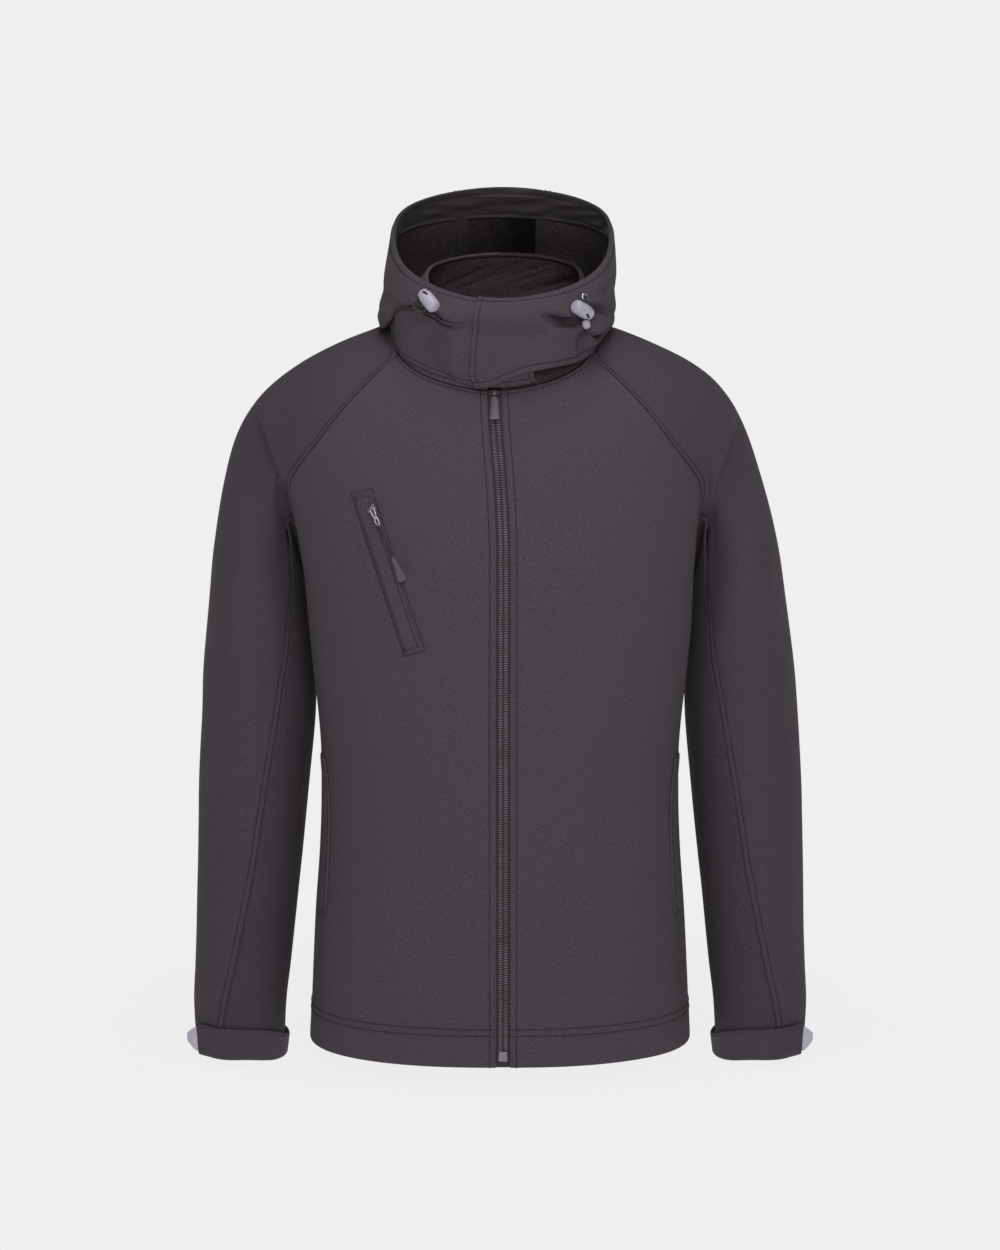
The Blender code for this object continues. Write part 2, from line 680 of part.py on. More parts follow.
# Collar and hood
def grid_normals(points):
    along = np.gradient(points, axis=0)
    across = np.gradient(points, axis=1)
    facing = np.cross(along, across)
    return facing / np.linalg.norm(facing, axis=-1, keepdims=True)


def make_collar(neck, material):
    points = []
    for r in range(COLLAR_ROWS + 1):
        share = r / COLLAR_ROWS
        row = []
        for base in neck:
            angle = math.degrees(math.atan2(base[0], -base[1]))
            seat = base + np.array([0, 0, COLLAR_SEAT])
            away = unit(np.array([base[0], base[1], 0.0]))
            bulge = COLLAR_BULGE * math.sin(math.pi * share)
            row.append((1 - share) * seat + share * collar_top(angle) + away * bulge)
        points.append(row)
    points = np.array(points)
    facing = grid_normals(points)
    away = points * np.array([1, 1, 0])
    if np.sum(facing * away) < 0:
        facing = -facing
    flat = facing.copy()
    flat[0, :, 2] = 0
    flat /= np.linalg.norm(flat, axis=-1, keepdims=True)
    wall("collar", points, points - flat * COLLAR_WALL, material)


def hood_normal(neck, row, angle):
    held = min(max(row, 0.03), HOOD_BRIM - 0.03)
    return -normal(lambda r, a: hood(neck, r, a), held, angle, 0.03, 0.8)


def centre_seam(neck, row):
    """The angle at which the hood's back has the half width of its centre panel."""
    back = hood(neck, row, 180.0)[1]
    return 180.0 - math.degrees(math.atan2(HOOD_CENTRE_HALF, back))


def hood_panel(name, neck, angles_at, edges, material, over=False):
    params = []
    for r in range(len(HOOD) + 1):
        trim = max(0.0, 1 - r / FLAP_HEM_FADE) if over else 0.0
        params.append([(r + trim * hem_rise(a), a) for a in angles_at(r)])
    points = grid_of(lambda r, a: hood(neck, r, a), params)
    normals = np.array([[hood_normal(neck, r, a) for r, a in row] for row in params])
    lift = np.zeros(points.shape[:2])
    if over:
        lift = np.array([[flap_lift(a) for _, a in row] for row in params])
    cloth_panel(name, points, normals, WALL, edges, material, lift, HOOD_SEAM_GAP)
    return points + normals * lift[..., None], normals


def flap_lift(angle):
    return FLAP_LIFT * (1 - smooth_step(UNDER_END + 2, FLAP_BLEND, angle))


def hem_rise(angle):
    """The overlapping front's lower edge climbs away from its free corner."""
    climb = smooth_step(FLAP_END, UNDER_END, angle)
    return FLAP_HEM_RISE * climb * (1 - smooth_step(UNDER_END, FLAP_HEM_ENDS, angle))


def side_angles(neck, row, side, nodes):
    seam = centre_seam(neck, row)
    last = nodes[-1]
    rest = [last + (seam - last) * i / HOOD_SIDE_COLUMNS for i in range(1, HOOD_SIDE_COLUMNS + 1)]
    return [side * a for a in nodes + rest]


def make_hood(neck, cloth, inside):
    over_nodes = [float(a) for a in FLAP_NODES]
    under_nodes = [-a for a in reversed(over_nodes)]

    def left_angles(row):
        return side_angles(neck, row, 1, over_nodes)

    def right_angles(row):
        return side_angles(neck, row, -1, under_nodes)

    def centre_angles(row):
        seam = centre_seam(neck, row)
        return [seam + (360 - 2 * seam) * i / HOOD_CENTRE_COLUMNS for i in range(HOOD_CENTRE_COLUMNS + 1)]

    left = hood_panel("hood_side_left", neck, left_angles, ("end",), cloth, True)
    right = hood_panel("hood_side_right", neck, right_angles, ("end",), cloth)
    centre = hood_panel("hood_centre", neck, centre_angles, ("start", "end"), cloth)
    make_facing(left, centre, right, inside)


def make_facing(left, centre, right, material):
    """A band inside the rim of the face opening, on the points of the three hood panels."""
    skip = len(FLAP_NODES) + FACING_SKIPS
    joined = []
    for k in (0, 1):
        rows = [left[k][:, skip:-1], centre[k], right[k][:, -2:skip - 1:-1]]
        joined.append(np.concatenate(rows, axis=1))
    points, normals = joined
    band, facing = [], []
    for row in np.linspace(FACING_LOW_ROW, HOOD_BRIM, FACING_ROWS + 1):
        k = min(int(row), len(HOOD) - 1)
        share = row - k
        band.append((1 - share) * points[k] + share * points[k + 1])
        facing.append((1 - share) * normals[k] + share * normals[k + 1])
    band, facing = np.array(band), np.array(facing)
    facing /= np.linalg.norm(facing, axis=-1, keepdims=True)
    outer = band - facing * (WALL + FACING_GAP)
    wall("hood_facing", outer, outer - facing * FACING_WALL, material)


# Zips, welts and pockets
def front_point(x, height):
    """A point of the front at this x and height, and the way out of it."""
    side = 1 if x >= lean(height) else -1
    angle = torso_angle(side, height, x)
    return torso(side, height, angle), torso_normal(side, height, angle)


def make_main_zip(material):
    across = [(-1, ZIP_HALF - SEAM_GAP), (-1, ZIP_TEETH_HALF), (1, ZIP_TEETH_HALF), (1, ZIP_HALF - SEAM_GAP)]
    outer, inner = [], []
    for height in front_heights():
        middle = zip_line(height)[0]
        line, under = [], []
        for way, reach in across:
            point, facing = front_point(middle + way * reach, height)
            rise = ZIP_TEETH_RISE if reach == ZIP_TEETH_HALF else 0.0
            line.append(point + facing * (rise - ZIP_RECESS))
            under.append(point - facing * (ZIP_RECESS + ZIP_WALL))
        outer.append(line)
        inner.append(under)
    wall("main_zip", np.array(outer), np.array(inner), material)


def chest_strip(name, shift, half, top, bottom, thickness, material):
    """A strip beside the chest pocket's mid line, laid on the front."""
    head, foot = np.array(CHEST_TOP), np.array(CHEST_BOTTOM)
    run = foot - head
    side_way = np.array([-run[1], run[0]]) / np.linalg.norm(run)
    outer, inner = [], []
    for r in range(CHEST_ROWS + 1):
        share = top + (bottom - top) * r / CHEST_ROWS
        line, under = [], []
        for c in (-1, 0, 1):
            x, height = head + run * share + side_way * (shift + half * c)
            point, facing = front_point(x, height)
            under.append(point + facing * TRIM_SEAT)
            line.append(point + facing * (TRIM_SEAT + thickness))
        outer.append(line)
        inner.append(under)
    wall(name, np.array(outer), np.array(inner), material)


def make_side_pocket(label, side, material):
    outer, inner = [], []
    for r in range(POCKET_ROWS + 1):
        share = r / POCKET_ROWS
        height = POCKET_BOTTOM + (POCKET_TOP - POCKET_BOTTOM) * share
        bend = POCKET_CURVE * share ** POCKET_BEND_ONSET
        line, under = [], []
        for c in range(3):
            angle = POCKET_ANGLE + bend + POCKET_SPAN * c / 2
            point = torso(side, height, angle)
            facing = torso_normal(side, height, angle)
            under.append(point + facing * POCKET_SEAT)
            line.append(point + facing * (POCKET_SEAT + TRIM_WALL))
        outer.append(line)
        inner.append(under)
    wall("side_pocket_" + label, np.array(outer), np.array(inner), material)


# Hard pieces on a frame of three directions: across, out of the cloth, and along
def placed(points, origin, frame):
    return np.array([origin + frame[0] * p[0] + frame[1] * p[1] + frame[2] * p[2] for p in points])


def outward(vertices, faces):
    return faces if volume(vertices, faces) > 0 else [tuple(reversed(face)) for face in faces]


def box(low, high):
    points = [(x, o, z) for x in (low[0], high[0]) for o in (low[1], high[1]) for z in (low[2], high[2])]
    faces = [(0, 1, 3, 2), (4, 6, 7, 5), (0, 4, 5, 1), (2, 3, 7, 6), (0, 2, 6, 4), (1, 5, 7, 3)]
    return points, faces


def rod(radius, half, sides=12):
    points, faces = [], []
    for x in (-half, half):
        for i in range(sides):
            turn = 2 * math.pi * i / sides
            points.append((x, radius * math.cos(turn), radius * math.sin(turn)))
    for i in range(sides):
        j = (i + 1) % sides
        faces.append((i, j, j + sides, i + sides))
    faces.append(tuple(range(sides - 1, -1, -1)))
    faces.append(tuple(range(sides, 2 * sides)))
    return points, faces


def make_slider(name, pin, frame, material):
    """A zip slider: a body on the teeth with two lugs and the pin its pull hangs on."""
    half, length, base_top = SLIDER_WIDTH / 2, SLIDER_LENGTH / 2, SLIDER_BASE - PIN_STANDS
    parts = [box((-half, -PIN_STANDS, -length), (half, base_top, length))]
    for way in (-1, 1):
        near, far = sorted((way * LUG_NEAR, way * (LUG_NEAR + LUG_WIDTH)))
        parts.append(box((near, base_top - LUG_SINK, -LUG_HALF), (far, LUG_TOP, LUG_HALF)))
    parts.append(rod(PIN_RADIUS, LUG_NEAR + LUG_WIDTH * 0.5))
    body = None
    for index, (points, faces) in enumerate(parts):
        vertices = placed(points, pin, frame)
        label = name + "_shape" if index else name
        item = add_object(label, vertices, outward(vertices, faces), material, smooth=False)
        if index == 0:
            body = item
            continue
        item.hide_render = True
        item.display_type = "WIRE"
        joined = body.modifiers.new("join", "BOOLEAN")
        joined.operation = "UNION"
        joined.object = item


def make_pull(name, pin, frame, drops, material):
    """A pull tab: an open eye bent round the slider's pin, running on into a flat tail."""
    stations = []
    for turn in np.radians(np.linspace(EYE_FROM, EYE_TO, EYE_STEPS)):
        way = np.array([math.cos(turn), math.sin(turn)])
        stations.append((way * EYE_OUTER, way * EYE_INNER, EYE_HALF))
    for drop, width in drops:
        stations.append((np.array([-PULL_WALL / 2, -drop]), np.array([PULL_WALL / 2, -drop]), width / 2))
    points, faces = [], []
    for back, front, half in stations:
        points += [(-half, *back), (half, *back), (half, *front), (-half, *front)]
    for k in range(len(stations) - 1):
        for i in range(4):
            j = (i + 1) % 4
            faces.append((4 * k + i, 4 * k + j, 4 * k + 4 + j, 4 * k + 4 + i))
    last = 4 * len(stations) - 4
    faces.append((3, 2, 1, 0))
    faces.append((last, last + 1, last + 2, last + 3))
    vertices = placed(points, pin, frame)
    add_object(name, vertices, outward(vertices, faces), material, origin=pin, smooth=False)


def turned(profile, sides):
    """A closed ring or barrel: a profile of radius and out values, turned about the out direction."""
    points, faces = [], []
    count = len(profile)
    for i in range(sides):
        turn = 2 * math.pi * i / sides
        points += [(r * math.cos(turn), o, r * math.sin(turn)) for r, o in profile]
    for i in range(sides):
        j = (i + 1) % sides
        for k in range(count):
            m = (k + 1) % count
            faces.append((i * count + k, i * count + m, j * count + m, j * count + k))
    return points, faces


def surface_frame(facing, tilt):
    """Across, out and along, turned by the tilt about the way out."""
    up = np.array([0, 0, 1.0])
    along = unit(up - facing * np.dot(up, facing))
    across = np.cross(along, facing)
    turn = math.radians(tilt)
    side_way = across * math.cos(turn) + along * math.sin(turn)
    return side_way, facing, along * math.cos(turn) - across * math.sin(turn)


def barrel(steps, sides):
    """A closed turned body along the first direction of its frame."""
    points, faces = [], []
    for along, radius in steps:
        for i in range(sides):
            turn = 2 * math.pi * i / sides
            points.append((along, radius * math.cos(turn), radius * math.sin(turn)))
    for k in range(len(steps) - 1):
        for i in range(sides):
            j = (i + 1) % sides
            faces.append((k * sides + i, k * sides + j, (k + 1) * sides + j, (k + 1) * sides + i))
    faces.append(tuple(range(sides - 1, -1, -1)))
    faces.append(tuple(range(len(points) - sides, len(points))))
    return points, faces


def make_cord(name, route, material):
    """A round cord along a smooth curve through its route's points."""
    padded = [2 * route[0] - route[1]] + list(route) + [2 * route[-1] - route[-2]]
    points = []
    for i in range((len(route) - 1) * CORD_STEPS + 1):
        k = min(i // CORD_STEPS, len(route) - 2)
        points.append(through(padded[k:k + 4], i / CORD_STEPS - k))
    curve = bpy.data.curves.new(name, "CURVE")
    curve.dimensions = "3D"
    curve.bevel_depth = CORD_DIAMETER / 2 * MM
    curve.bevel_resolution = 2
    curve.use_fill_caps = True
    spline = curve.splines.new("POLY")
    spline.points.add(len(points) - 1)
    for target, point in zip(spline.points, metres(points)):
        target.co = (*point, 1.0)
    curve.materials.append(material)
    item = bpy.data.objects.new(name, curve)
    bpy.context.scene.collection.objects.link(item)


def make_solid(name, shape, origin, frame, material):
    points, faces = shape
    vertices = placed(points, origin, frame)
    add_object(name, vertices, outward(vertices, faces), material)


def make_draw_cord(label, neck, materials):
    """Eyelet, cord lock and free cord at one side of the face opening."""
    eyelet, lock = EYELETS[label], LOCKS[label]
    facing = hood_normal(neck, eyelet.row, eyelet.angle)
    seat = hood(neck, eyelet.row, eyelet.angle) + facing * eyelet.seat
    eyelet_frame = surface_frame(facing, 0)
    make_solid("eyelet_" + label, turned(EYELET, EYELET_SIDES), seat, eyelet_frame, materials["metal"])
    out = hood_normal(neck, lock.row, lock.angle)
    centre = hood(neck, lock.row, lock.angle) + out * (LOCK_RADIUS + lock.seat)
    frame = surface_frame(out, lock.tilt)
    make_solid("cord_lock_" + label, barrel(LOCK, LOCK_SIDES), centre, frame, materials["accent"])
    if label == "right":
        make_cord("cord_right", placed(CORD_LOOP, centre, frame), materials["cord"])
        return
    make_cord("cord_left", placed(CORD_LEAD, seat, eyelet_frame), materials["cord"])
    hang = surface_frame(out, lock.tilt + CORD_END_TURN)
    drop = LOCK_WAIST + 2 * SEAT_GAP + CORD_END_HALF
    below = centre + frame[0] * CORD_END_ALONG - frame[2] * drop
    make_solid("cord_end_left", barrel(CORD_END, LOCK_SIDES), below, hang, materials["accent"])


# Cuffs
def sleeve_height_row(height):
    upper, lower = ARM[-2].outer_height, ARM[-1].outer_height
    return SLEEVE_END - 1 + (upper - height) / (upper - lower)


def cuff_point(side, height, turn, out):
    row = min(sleeve_height_row(height), float(SLEEVE_END))
    point = sleeve(side, row, turn) + sleeve_normal(side, row, turn) * out
    point[2] = height - STRAP_TILT * math.cos(2 * math.pi * turn)
    return point


def make_cuff(label, side, cloth, accent):
    turns = list(np.linspace(STRAP_START, STRAP_LEAVES, STRAP_COLUMNS))
    outer, inner = [], []
    for height in STRAP_HEIGHTS:
        share = (height - STRAP_BOTTOM) / (STRAP_TOP - STRAP_BOTTOM)
        base = STRAP_SEAT + STRAP_STANDS_OFF * share
        near = [cuff_point(side, height, t, base) for t in turns]
        far = [cuff_point(side, height, t, base + STRAP_WALL) for t in turns]
        way = unit((near[-1] - near[-2]) * np.array([1, 1, 0]))
        near.append(near[-1] + way * STRAP_RUN_ON)
        far.append(far[-1] + way * STRAP_RUN_ON)
        inner.append(near)
        outer.append(far)
    outer, inner = np.array(outer), np.array(inner)
    wall("cuff_strap_" + label, outer, inner, cloth)
    make_tab(label, outer[:, -1], inner[:, -1], outer[1, -1] - outer[1, -2], accent)


def make_tab(label, outer_edge, inner_edge, way, material):
    """The moulded end of a cuff strap: a chamfered plate that runs on from the strap's end."""
    way = unit(way * np.array([1, 1, 0]))
    level = 0.5 * (outer_edge[0, 2] + outer_edge[-1, 2])
    plates = []
    for edge in (outer_edge, inner_edge):
        plate = []
        for point in edge:
            line = []
            for run, share in TAB_STATIONS:
                moved = point + way * run
                moved[2] = level + (point[2] - level) * share
                line.append(moved)
            plate.append(line)
        plates.append(np.array(plate))
    wall("cuff_tab_" + label, plates[0], plates[1], material)


def build():
    clear_scene()
    cloth = finish("softshell", (0.058, 0.050, 0.058), 0.8)
    sleeve_cloth = finish("softshell_sleeve", (0.052, 0.045, 0.052), 0.8)
    inside = finish("facing_cloth", (0.03, 0.026, 0.03), 0.85)
    zip_tape = finish("zip_tape", (0.05, 0.045, 0.05), 0.6)
    materials = {
        "metal": finish("gunmetal", (0.18, 0.17, 0.18), 0.35, 0.9),
        "accent": finish("accent_plastic", (0.52, 0.49, 0.58), 0.45),
        "cord": finish("elastic_cord", (0.02, 0.018, 0.02), 0.8),
        "pull": finish("pull_plastic", (0.11, 0.10, 0.115), 0.5),
    }
    neck_right = make_front("front_right", -1, cloth)
    neck_left = make_front("front_left", 1, cloth)
    neck_back = make_back(cloth)
    shoulder_right = make_sleeve("right", -1, sleeve_cloth)
    shoulder_left = make_sleeve("left", 1, sleeve_cloth)
    neck = np.concatenate([
        neck_right, shoulder_right[1:-1], neck_back, shoulder_left[-2:0:-1], neck_left[::-1],
    ])
    make_collar(neck, cloth)
    make_hood(neck, cloth, inside)

    make_main_zip(zip_tape)
    make_main_slider(materials)
    make_zip_box(materials["metal"])
    chest_strip("chest_welt", CHEST_WELT_SHIFT, CHEST_WELT_HALF, 0.0, 1.0, TRIM_WALL, cloth)
    chest_strip("chest_zip", CHEST_ZIP_SHIFT, CHEST_ZIP_HALF, CHEST_ZIP_FROM, CHEST_ZIP_TO, CHEST_ZIP_WALL,
                zip_tape)
    make_chest_slider(materials)
    for label, side in (("right", -1), ("left", 1)):
        make_side_pocket(label, side, cloth)
        make_cuff(label, side, sleeve_cloth, materials["accent"])
        make_draw_cord(label, neck, materials)


def make_main_slider(materials):
    point, facing = front_point(zip_line(MAIN_PIN_HEIGHT)[0], MAIN_PIN_HEIGHT)
    pin = point + facing * (PIN_STANDS + ZIP_TEETH_RISE - ZIP_RECESS + SEAT_GAP)
    frame = surface_frame(facing, 0)
    make_slider("main_slider", pin, frame, materials["metal"])
    make_pull("main_pull", pin, frame, MAIN_PULL, materials["pull"])


def make_zip_box(material):
    """The box at the foot of the main zip, on its teeth."""
    middle = 0.5 * (ZIP_BOX_LOW + ZIP_BOX_HIGH)
    point, facing = front_point(zip_line(middle)[0], middle)
    seat = point + facing * (ZIP_TEETH_RISE - ZIP_RECESS + SEAT_GAP)
    half = 0.5 * (ZIP_BOX_HIGH - ZIP_BOX_LOW)
    shape = box((-ZIP_BOX_HALF, 0, -half), (ZIP_BOX_HALF, ZIP_BOX_RISE, half))
    make_solid("zip_box", shape, seat, surface_frame(facing, 0), material)


def make_chest_slider(materials):
    head, foot = np.array(CHEST_TOP), np.array(CHEST_BOTTOM)
    run = foot - head
    side_way = np.array([-run[1], run[0]]) / np.linalg.norm(run)
    x, height = head + run * CHEST_SLIDER_AT + side_way * CHEST_ZIP_SHIFT
    point, facing = front_point(x, height)
    pin = point + facing * (PIN_STANDS + TRIM_SEAT + TRIM_WALL + SEAT_GAP)
    tilt = math.degrees(math.atan2(run[0], -run[1])) + CHEST_PULL_SWING
    frame = surface_frame(facing, tilt)
    make_slider("chest_slider", pin, frame, materials["metal"])
    make_pull("chest_pull", pin, frame, CHEST_PULL, materials["pull"])


build()
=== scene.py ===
"""Hooded softshell jacket: woven cloth with its seams and folds, zips, cords and moulded fittings.

The forms repeat the solids' own tables. Lengths are millimetres until a mesh is made, heights run up
from the hem at the centre front, +X is the wearer's left and -Y the front.
"""
import math
from collections import namedtuple

import bmesh
import bpy
import numpy as np
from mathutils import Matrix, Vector, noise


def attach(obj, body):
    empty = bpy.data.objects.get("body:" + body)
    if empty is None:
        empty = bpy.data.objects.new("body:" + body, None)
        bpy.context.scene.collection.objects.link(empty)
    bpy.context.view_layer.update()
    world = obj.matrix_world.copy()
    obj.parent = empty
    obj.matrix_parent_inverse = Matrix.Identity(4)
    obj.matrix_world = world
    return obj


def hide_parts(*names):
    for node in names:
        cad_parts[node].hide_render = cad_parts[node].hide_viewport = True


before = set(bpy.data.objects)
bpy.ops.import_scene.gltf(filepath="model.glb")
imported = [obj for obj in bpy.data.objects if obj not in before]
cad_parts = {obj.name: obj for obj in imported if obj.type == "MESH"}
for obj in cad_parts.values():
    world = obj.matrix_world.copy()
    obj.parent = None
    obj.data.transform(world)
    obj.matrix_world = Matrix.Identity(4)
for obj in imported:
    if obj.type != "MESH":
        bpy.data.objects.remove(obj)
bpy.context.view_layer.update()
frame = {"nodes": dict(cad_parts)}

MM = 0.001
TAU = 2 * math.pi
SIDES = {"right": -1, "left": 1}  # the wearer's own
ORIGIN_HEIGHT = 700.0  # the shoulders that carry the jacket, above the hem

# Cloth and seams
WALL = 2.0  # softshell body, sleeves and hood
COLLAR_WALL = 2.6  # two layers
FACING_WALL = 1.2
TRIM_WALL = 1.5  # pocket welts
STRAP_WALL = 2.2  # two layers
SEAT_GAP = 0.35  # a piece that lies on another
TRIM_SEAT = 0.45  # a welt on a curved front
SECTION_POWER = 2.3  # 2 is an ellipse, more is squarer
SHOULDER_LEAN = -5.5  # the shoulders hang a little to the wearer's right
LEAN_FROM, LEAN_TO = 420.0, 600.0

# Body, level by level: height, half width, and how deep its sides, front and back lie
TORSO = [
    (-6, 193, -5, -127, 119), (60, 189.5, -7, -128.5, 119), (125, 186, -8, -130, 118),
    (190, 181.5, -9, -131, 117), (250, 179.3, -10, -131.5, 117), (295, 179, -12, -132, 118),
    (340, 182, -15, -133, 120), (400, 188, -18, -134, 124), (450, 191, -22, -134.5, 127),
    (500, 196, -25, -133, 129), (538, 202.5, -23, -129, 129), (565, 208.5, -19, -124.5, 127.5),
    (596, 217, -12, -117, 124), (630, 225, -2, -106, 118), (653, 214, 5, -97.5, 112),
    (673, 188, 10, -87, 107), (693, 157, 13, -68, 100), (707, 126, 15, -50, 94), (717, 97, 15, -36, 86.5),
    (724, 78, 15, -28, 80),
]
UNDERARM_HEIGHT = 470.0
SIDE_SEAM_ANGLE = 107.0  # round the body from the centre front
NECK_FRONT_HEIGHT = 657.0
NECK_BACK_HEIGHT = 718.0
RAGLAN_FRONT_TOP = 690.0
RAGLAN_BACK_TOP = 717.0
NECK_ROUNDING = 2.2  # how late the neckline climbs from the centre front
NECK_SPREAD = 1.6
NECK_SPREAD_ONSET = 4
# Raglan seams: height and angle
RAGLAN_FRONT = [
    (470, 107), (485, 102), (503, 96), (522, 89), (545, 81), (560, 75), (575, 65), (606, 48.5),
    (645, 36.5), (690, 32),
]
RAGLAN_BACK = [
    (470, 107), (490, 117), (515, 128), (543, 138), (575, 146), (610, 150), (650, 149), (690, 145),
    (717, 140),
]
# Neckline over the shoulder: share, height and angle
NECK_SIDE = [
    (0, 690, 32), (0.2, 704, 45), (0.36, 712, 62), (0.5, 716, 85), (0.75, 717, 115), (1, 717, 140),
]
HEM_ROWS = [-6, 40, 85, 135, 185, 230, 265, 300, 335, 375, 425]
RAGLAN_SHARES = [0, 0.05, 0.1, 0.15, 0.2, 0.3, 0.4, 0.5, 0.6, 0.7, 0.8, 0.9, 1.0]
RAGLAN_EASE = 0.95
FRONT_COLUMNS = 10
BACK_HALF_COLUMNS = 8

# Sleeve: a cap from the raglan seam to the arm, then one row per section of the arm
FRONT_TURN, BACK_TURN = 0.42, 0.58  # where the raglan seams meet the neckline
ArmSection = namedtuple(
    "ArmSection", "outer_x outer_height inner_x inner_height depth half_front half_back",
)
ARM = [ArmSection(*row) for row in (
    (268, 552, 192.5, 444, 33, 60, 68), (281, 491, 190.5, 424, 35, 68, 70),
    (288, 440, 188.5, 400, 35, 70, 70), (297, 370, 186.5, 366, 33, 68, 68),
    (301.5, 317, 187.5, 317, 30, 66, 66), (305, 256, 192.5, 256, 25, 63, 63),
    (306, 218, 196, 218, 20, 61, 61), (306.8, 180, 200, 180, 15, 58, 58),
    (307.5, 142, 204.5, 142, 11, 56, 56), (308.3, 104, 208.6, 104, 8, 53.5, 53.5),
    (309.5, 65, 213, 65, 4, 51, 51), (311, 27, 217.5, 27, 0, 49, 49), (309, -17, 219.5, -22, -3, 47, 47),
)]
RIGHT_ARM_OUT = 5.0  # the wearer's right upper arm is held a little further out
RIGHT_ARM_FADE = (300.0, 420.0)
CAP_ROWS = 5  # rows from the raglan seam to the first section
CAP_FULLNESS = 0.9  # how far the cloth runs on from the seam
CAP_SHOULDER = {-1: 0.36, 1: 0.54}  # and more at each shoulder
SHOULDER_WAY = np.array([0.9, 0.05, -0.39])
SHOULDER_TURNS = (0.1, 0.34)
UNDERARM_REACH = 0.14
UNDERARM_TURN = 0.6  # how soon the cloth turns away from the body at the underarm
SLEEVE_END = CAP_ROWS + len(ARM) - 1
# Seams of the under sleeve: row, and turns to the front and back
UNDER_SLEEVE = [
    (0, 0.084, 0.084), (5, 0.11, 0.1), (7, 0.139, 0.12), (10, 0.2, 0.13), (12, 0.219, 0.14),
    (14, 0.25, 0.15), (17, 0.31, 0.16),
]
UNDER_SHARE = 0.2  # of the raglan seam, on the under sleeve
NECK_PIECE_COLUMNS = 4

# Cuff strap and its moulded end
STRAP_TOP, STRAP_BOTTOM = 9.0, -23.0
STRAP_START, STRAP_LEAVES = -0.08, 0.361  # turns round the sleeve
STRAP_RUN_ON = 13.0
STRAP_SEAT = 0.6
STRAP_STANDS_OFF = 1.6  # its upper edge, further off the sleeve
STRAP_TILT = 4.0  # its outer end sits higher, its inner side lower
# The moulded end: run, and share of the strap's height
TAB_STATIONS = [
    (0.35, 0.8), (4.0, 0.76), (10.0, 0.5), (15.0, 0.26),
]

# Collar and hood
COLLAR_SHIFT = 4.0
COLLAR_SEAT = 0.4
COLLAR_BULGE = 2.5
COLLAR_ROWS = 4
HoodRow = namedtuple(
    "HoodRow", "side_x side_height front_y front_height back_y back_height back_ease front_ease power",
)
COLLAR_RIM = HoodRow(77, 764, 82, 737, 76, 781, 1, 1, 2.4)
HOOD = [HoodRow(*row) for row in (
    (108, 719.5, 102.5, 670, 106, 719, 4, 1.4, 2.9), (113, 721, 104, 678, 128, 702, 4, 1.38, 2.9),
    (116, 725, 105.5, 688, 146, 662, 4, 1.35, 2.8), (115.5, 731, 106.5, 698, 160, 622, 4.6, 1.3, 2.7),
    (116, 738, 106, 707, 182, 602, 4.2, 1.28, 2.6), (114.5, 746, 104.5, 714, 204, 616, 3.5, 1.24, 2.6),
    (113.5, 754, 108, 720, 207, 660, 3, 1.2, 2.5), (114, 762, 110, 727, 190, 714, 2.3, 1.15, 2.5),
    (114, 772, 108.5, 733, 158, 763, 1.7, 1.1, 2.4), (112, 787, 105, 739, 122, 806, 1.3, 1.05, 2.4),
    (108, 806, 99, 744, 105, 846, 1, 1, 2.5),
)]
HOOD_SHIFT_LOW, HOOD_SHIFT_BRIM = -5.0, 2.5
HOOD_SEAT_OUT, HOOD_SEAT_UP = 2.6, 2.6
HOOD_BRIM = float(len(HOOD))
HOOD_CENTRE_HALF = 44.0
UNDER_END, FLAP_END = 20.0, -13.0  # degrees from the centre front
FLAP_BLEND = 42.0
FLAP_NODES = [-13, -5, 3, 11.5, 20]
FLAP_LIFT = WALL + 0.5
FLAP_HEM_RISE = 1.4  # rows at the lower edge
FLAP_HEM_FADE = 4.0  # rows
FLAP_HEM_ENDS = 60.0  # degrees
HOOD_SIDE_COLUMNS = 12
HOOD_CENTRE_COLUMNS = 5
FACING_LOW_ROW = 10.25
FACING_ROWS = 2
FACING_SKIPS = 1
FACING_GAP = 0.75

# Main zip
ZIP_LINE = [  # height, x
    (0, 3), (300, 3), (500, 3.2), (560, 1), (626, -4.3), (662, -5.8),
]
ZIP_HALF = 6.5
ZIP_TEETH_RISE = 0.8
ZIP_RECESS = 0.6
ZIP_WALL = 2.2
ZIP_BOX_LOW, ZIP_BOX_HIGH = 1.0, 11.0
ZIP_BOX_HALF, ZIP_BOX_RISE = 4.4, 2.0
MAIN_PIN_HEIGHT = 651.5
MAIN_PULL = [(2.2, 3.8), (3, 4.4), (7, 6.4), (23, 9.4), (25, 7.4)]  # drop below the pin, width
ZIP_PROFILE = [(0, -1.1), (1.2, -0.9), (3.6, -0.9), (4.8, -1.1), (5.7, -1.7), (6.4, -2.3), (9.5, -2.35)]

# Chest pocket, on the wearer's right front
CHEST_TOP, CHEST_BOTTOM = (-131.4, 557.0), (-83.2, 410.3)  # mid line of the stitched frame
CHEST_WELT_HALF = 6.9
CHEST_WELT_SHIFT = -2.3
CHEST_ZIP_SHIFT = 6.5
CHEST_ZIP_WALL = 1.0
CHEST_ZIP_ENDS = (0.03, 0.97)  # shares of the frame's length
CHEST_SLIDER_AT = 0.1
CHEST_PULL_SWING = 8.0
CHEST_CORD = (15.4, 51.5)  # drops below the pin
STRAND_RADIUS, STRAND_LAY = 0.62, 0.52
CHEST_GRIP = [(49.5, 2.6), (54, 3.4), (72.5, 8.2), (74.8, 7.4)]  # drop below the pin, width
CHEST_RIBS = (58.0, 61.5, 65.0, 68.5)
LINK_TURN = 0.35

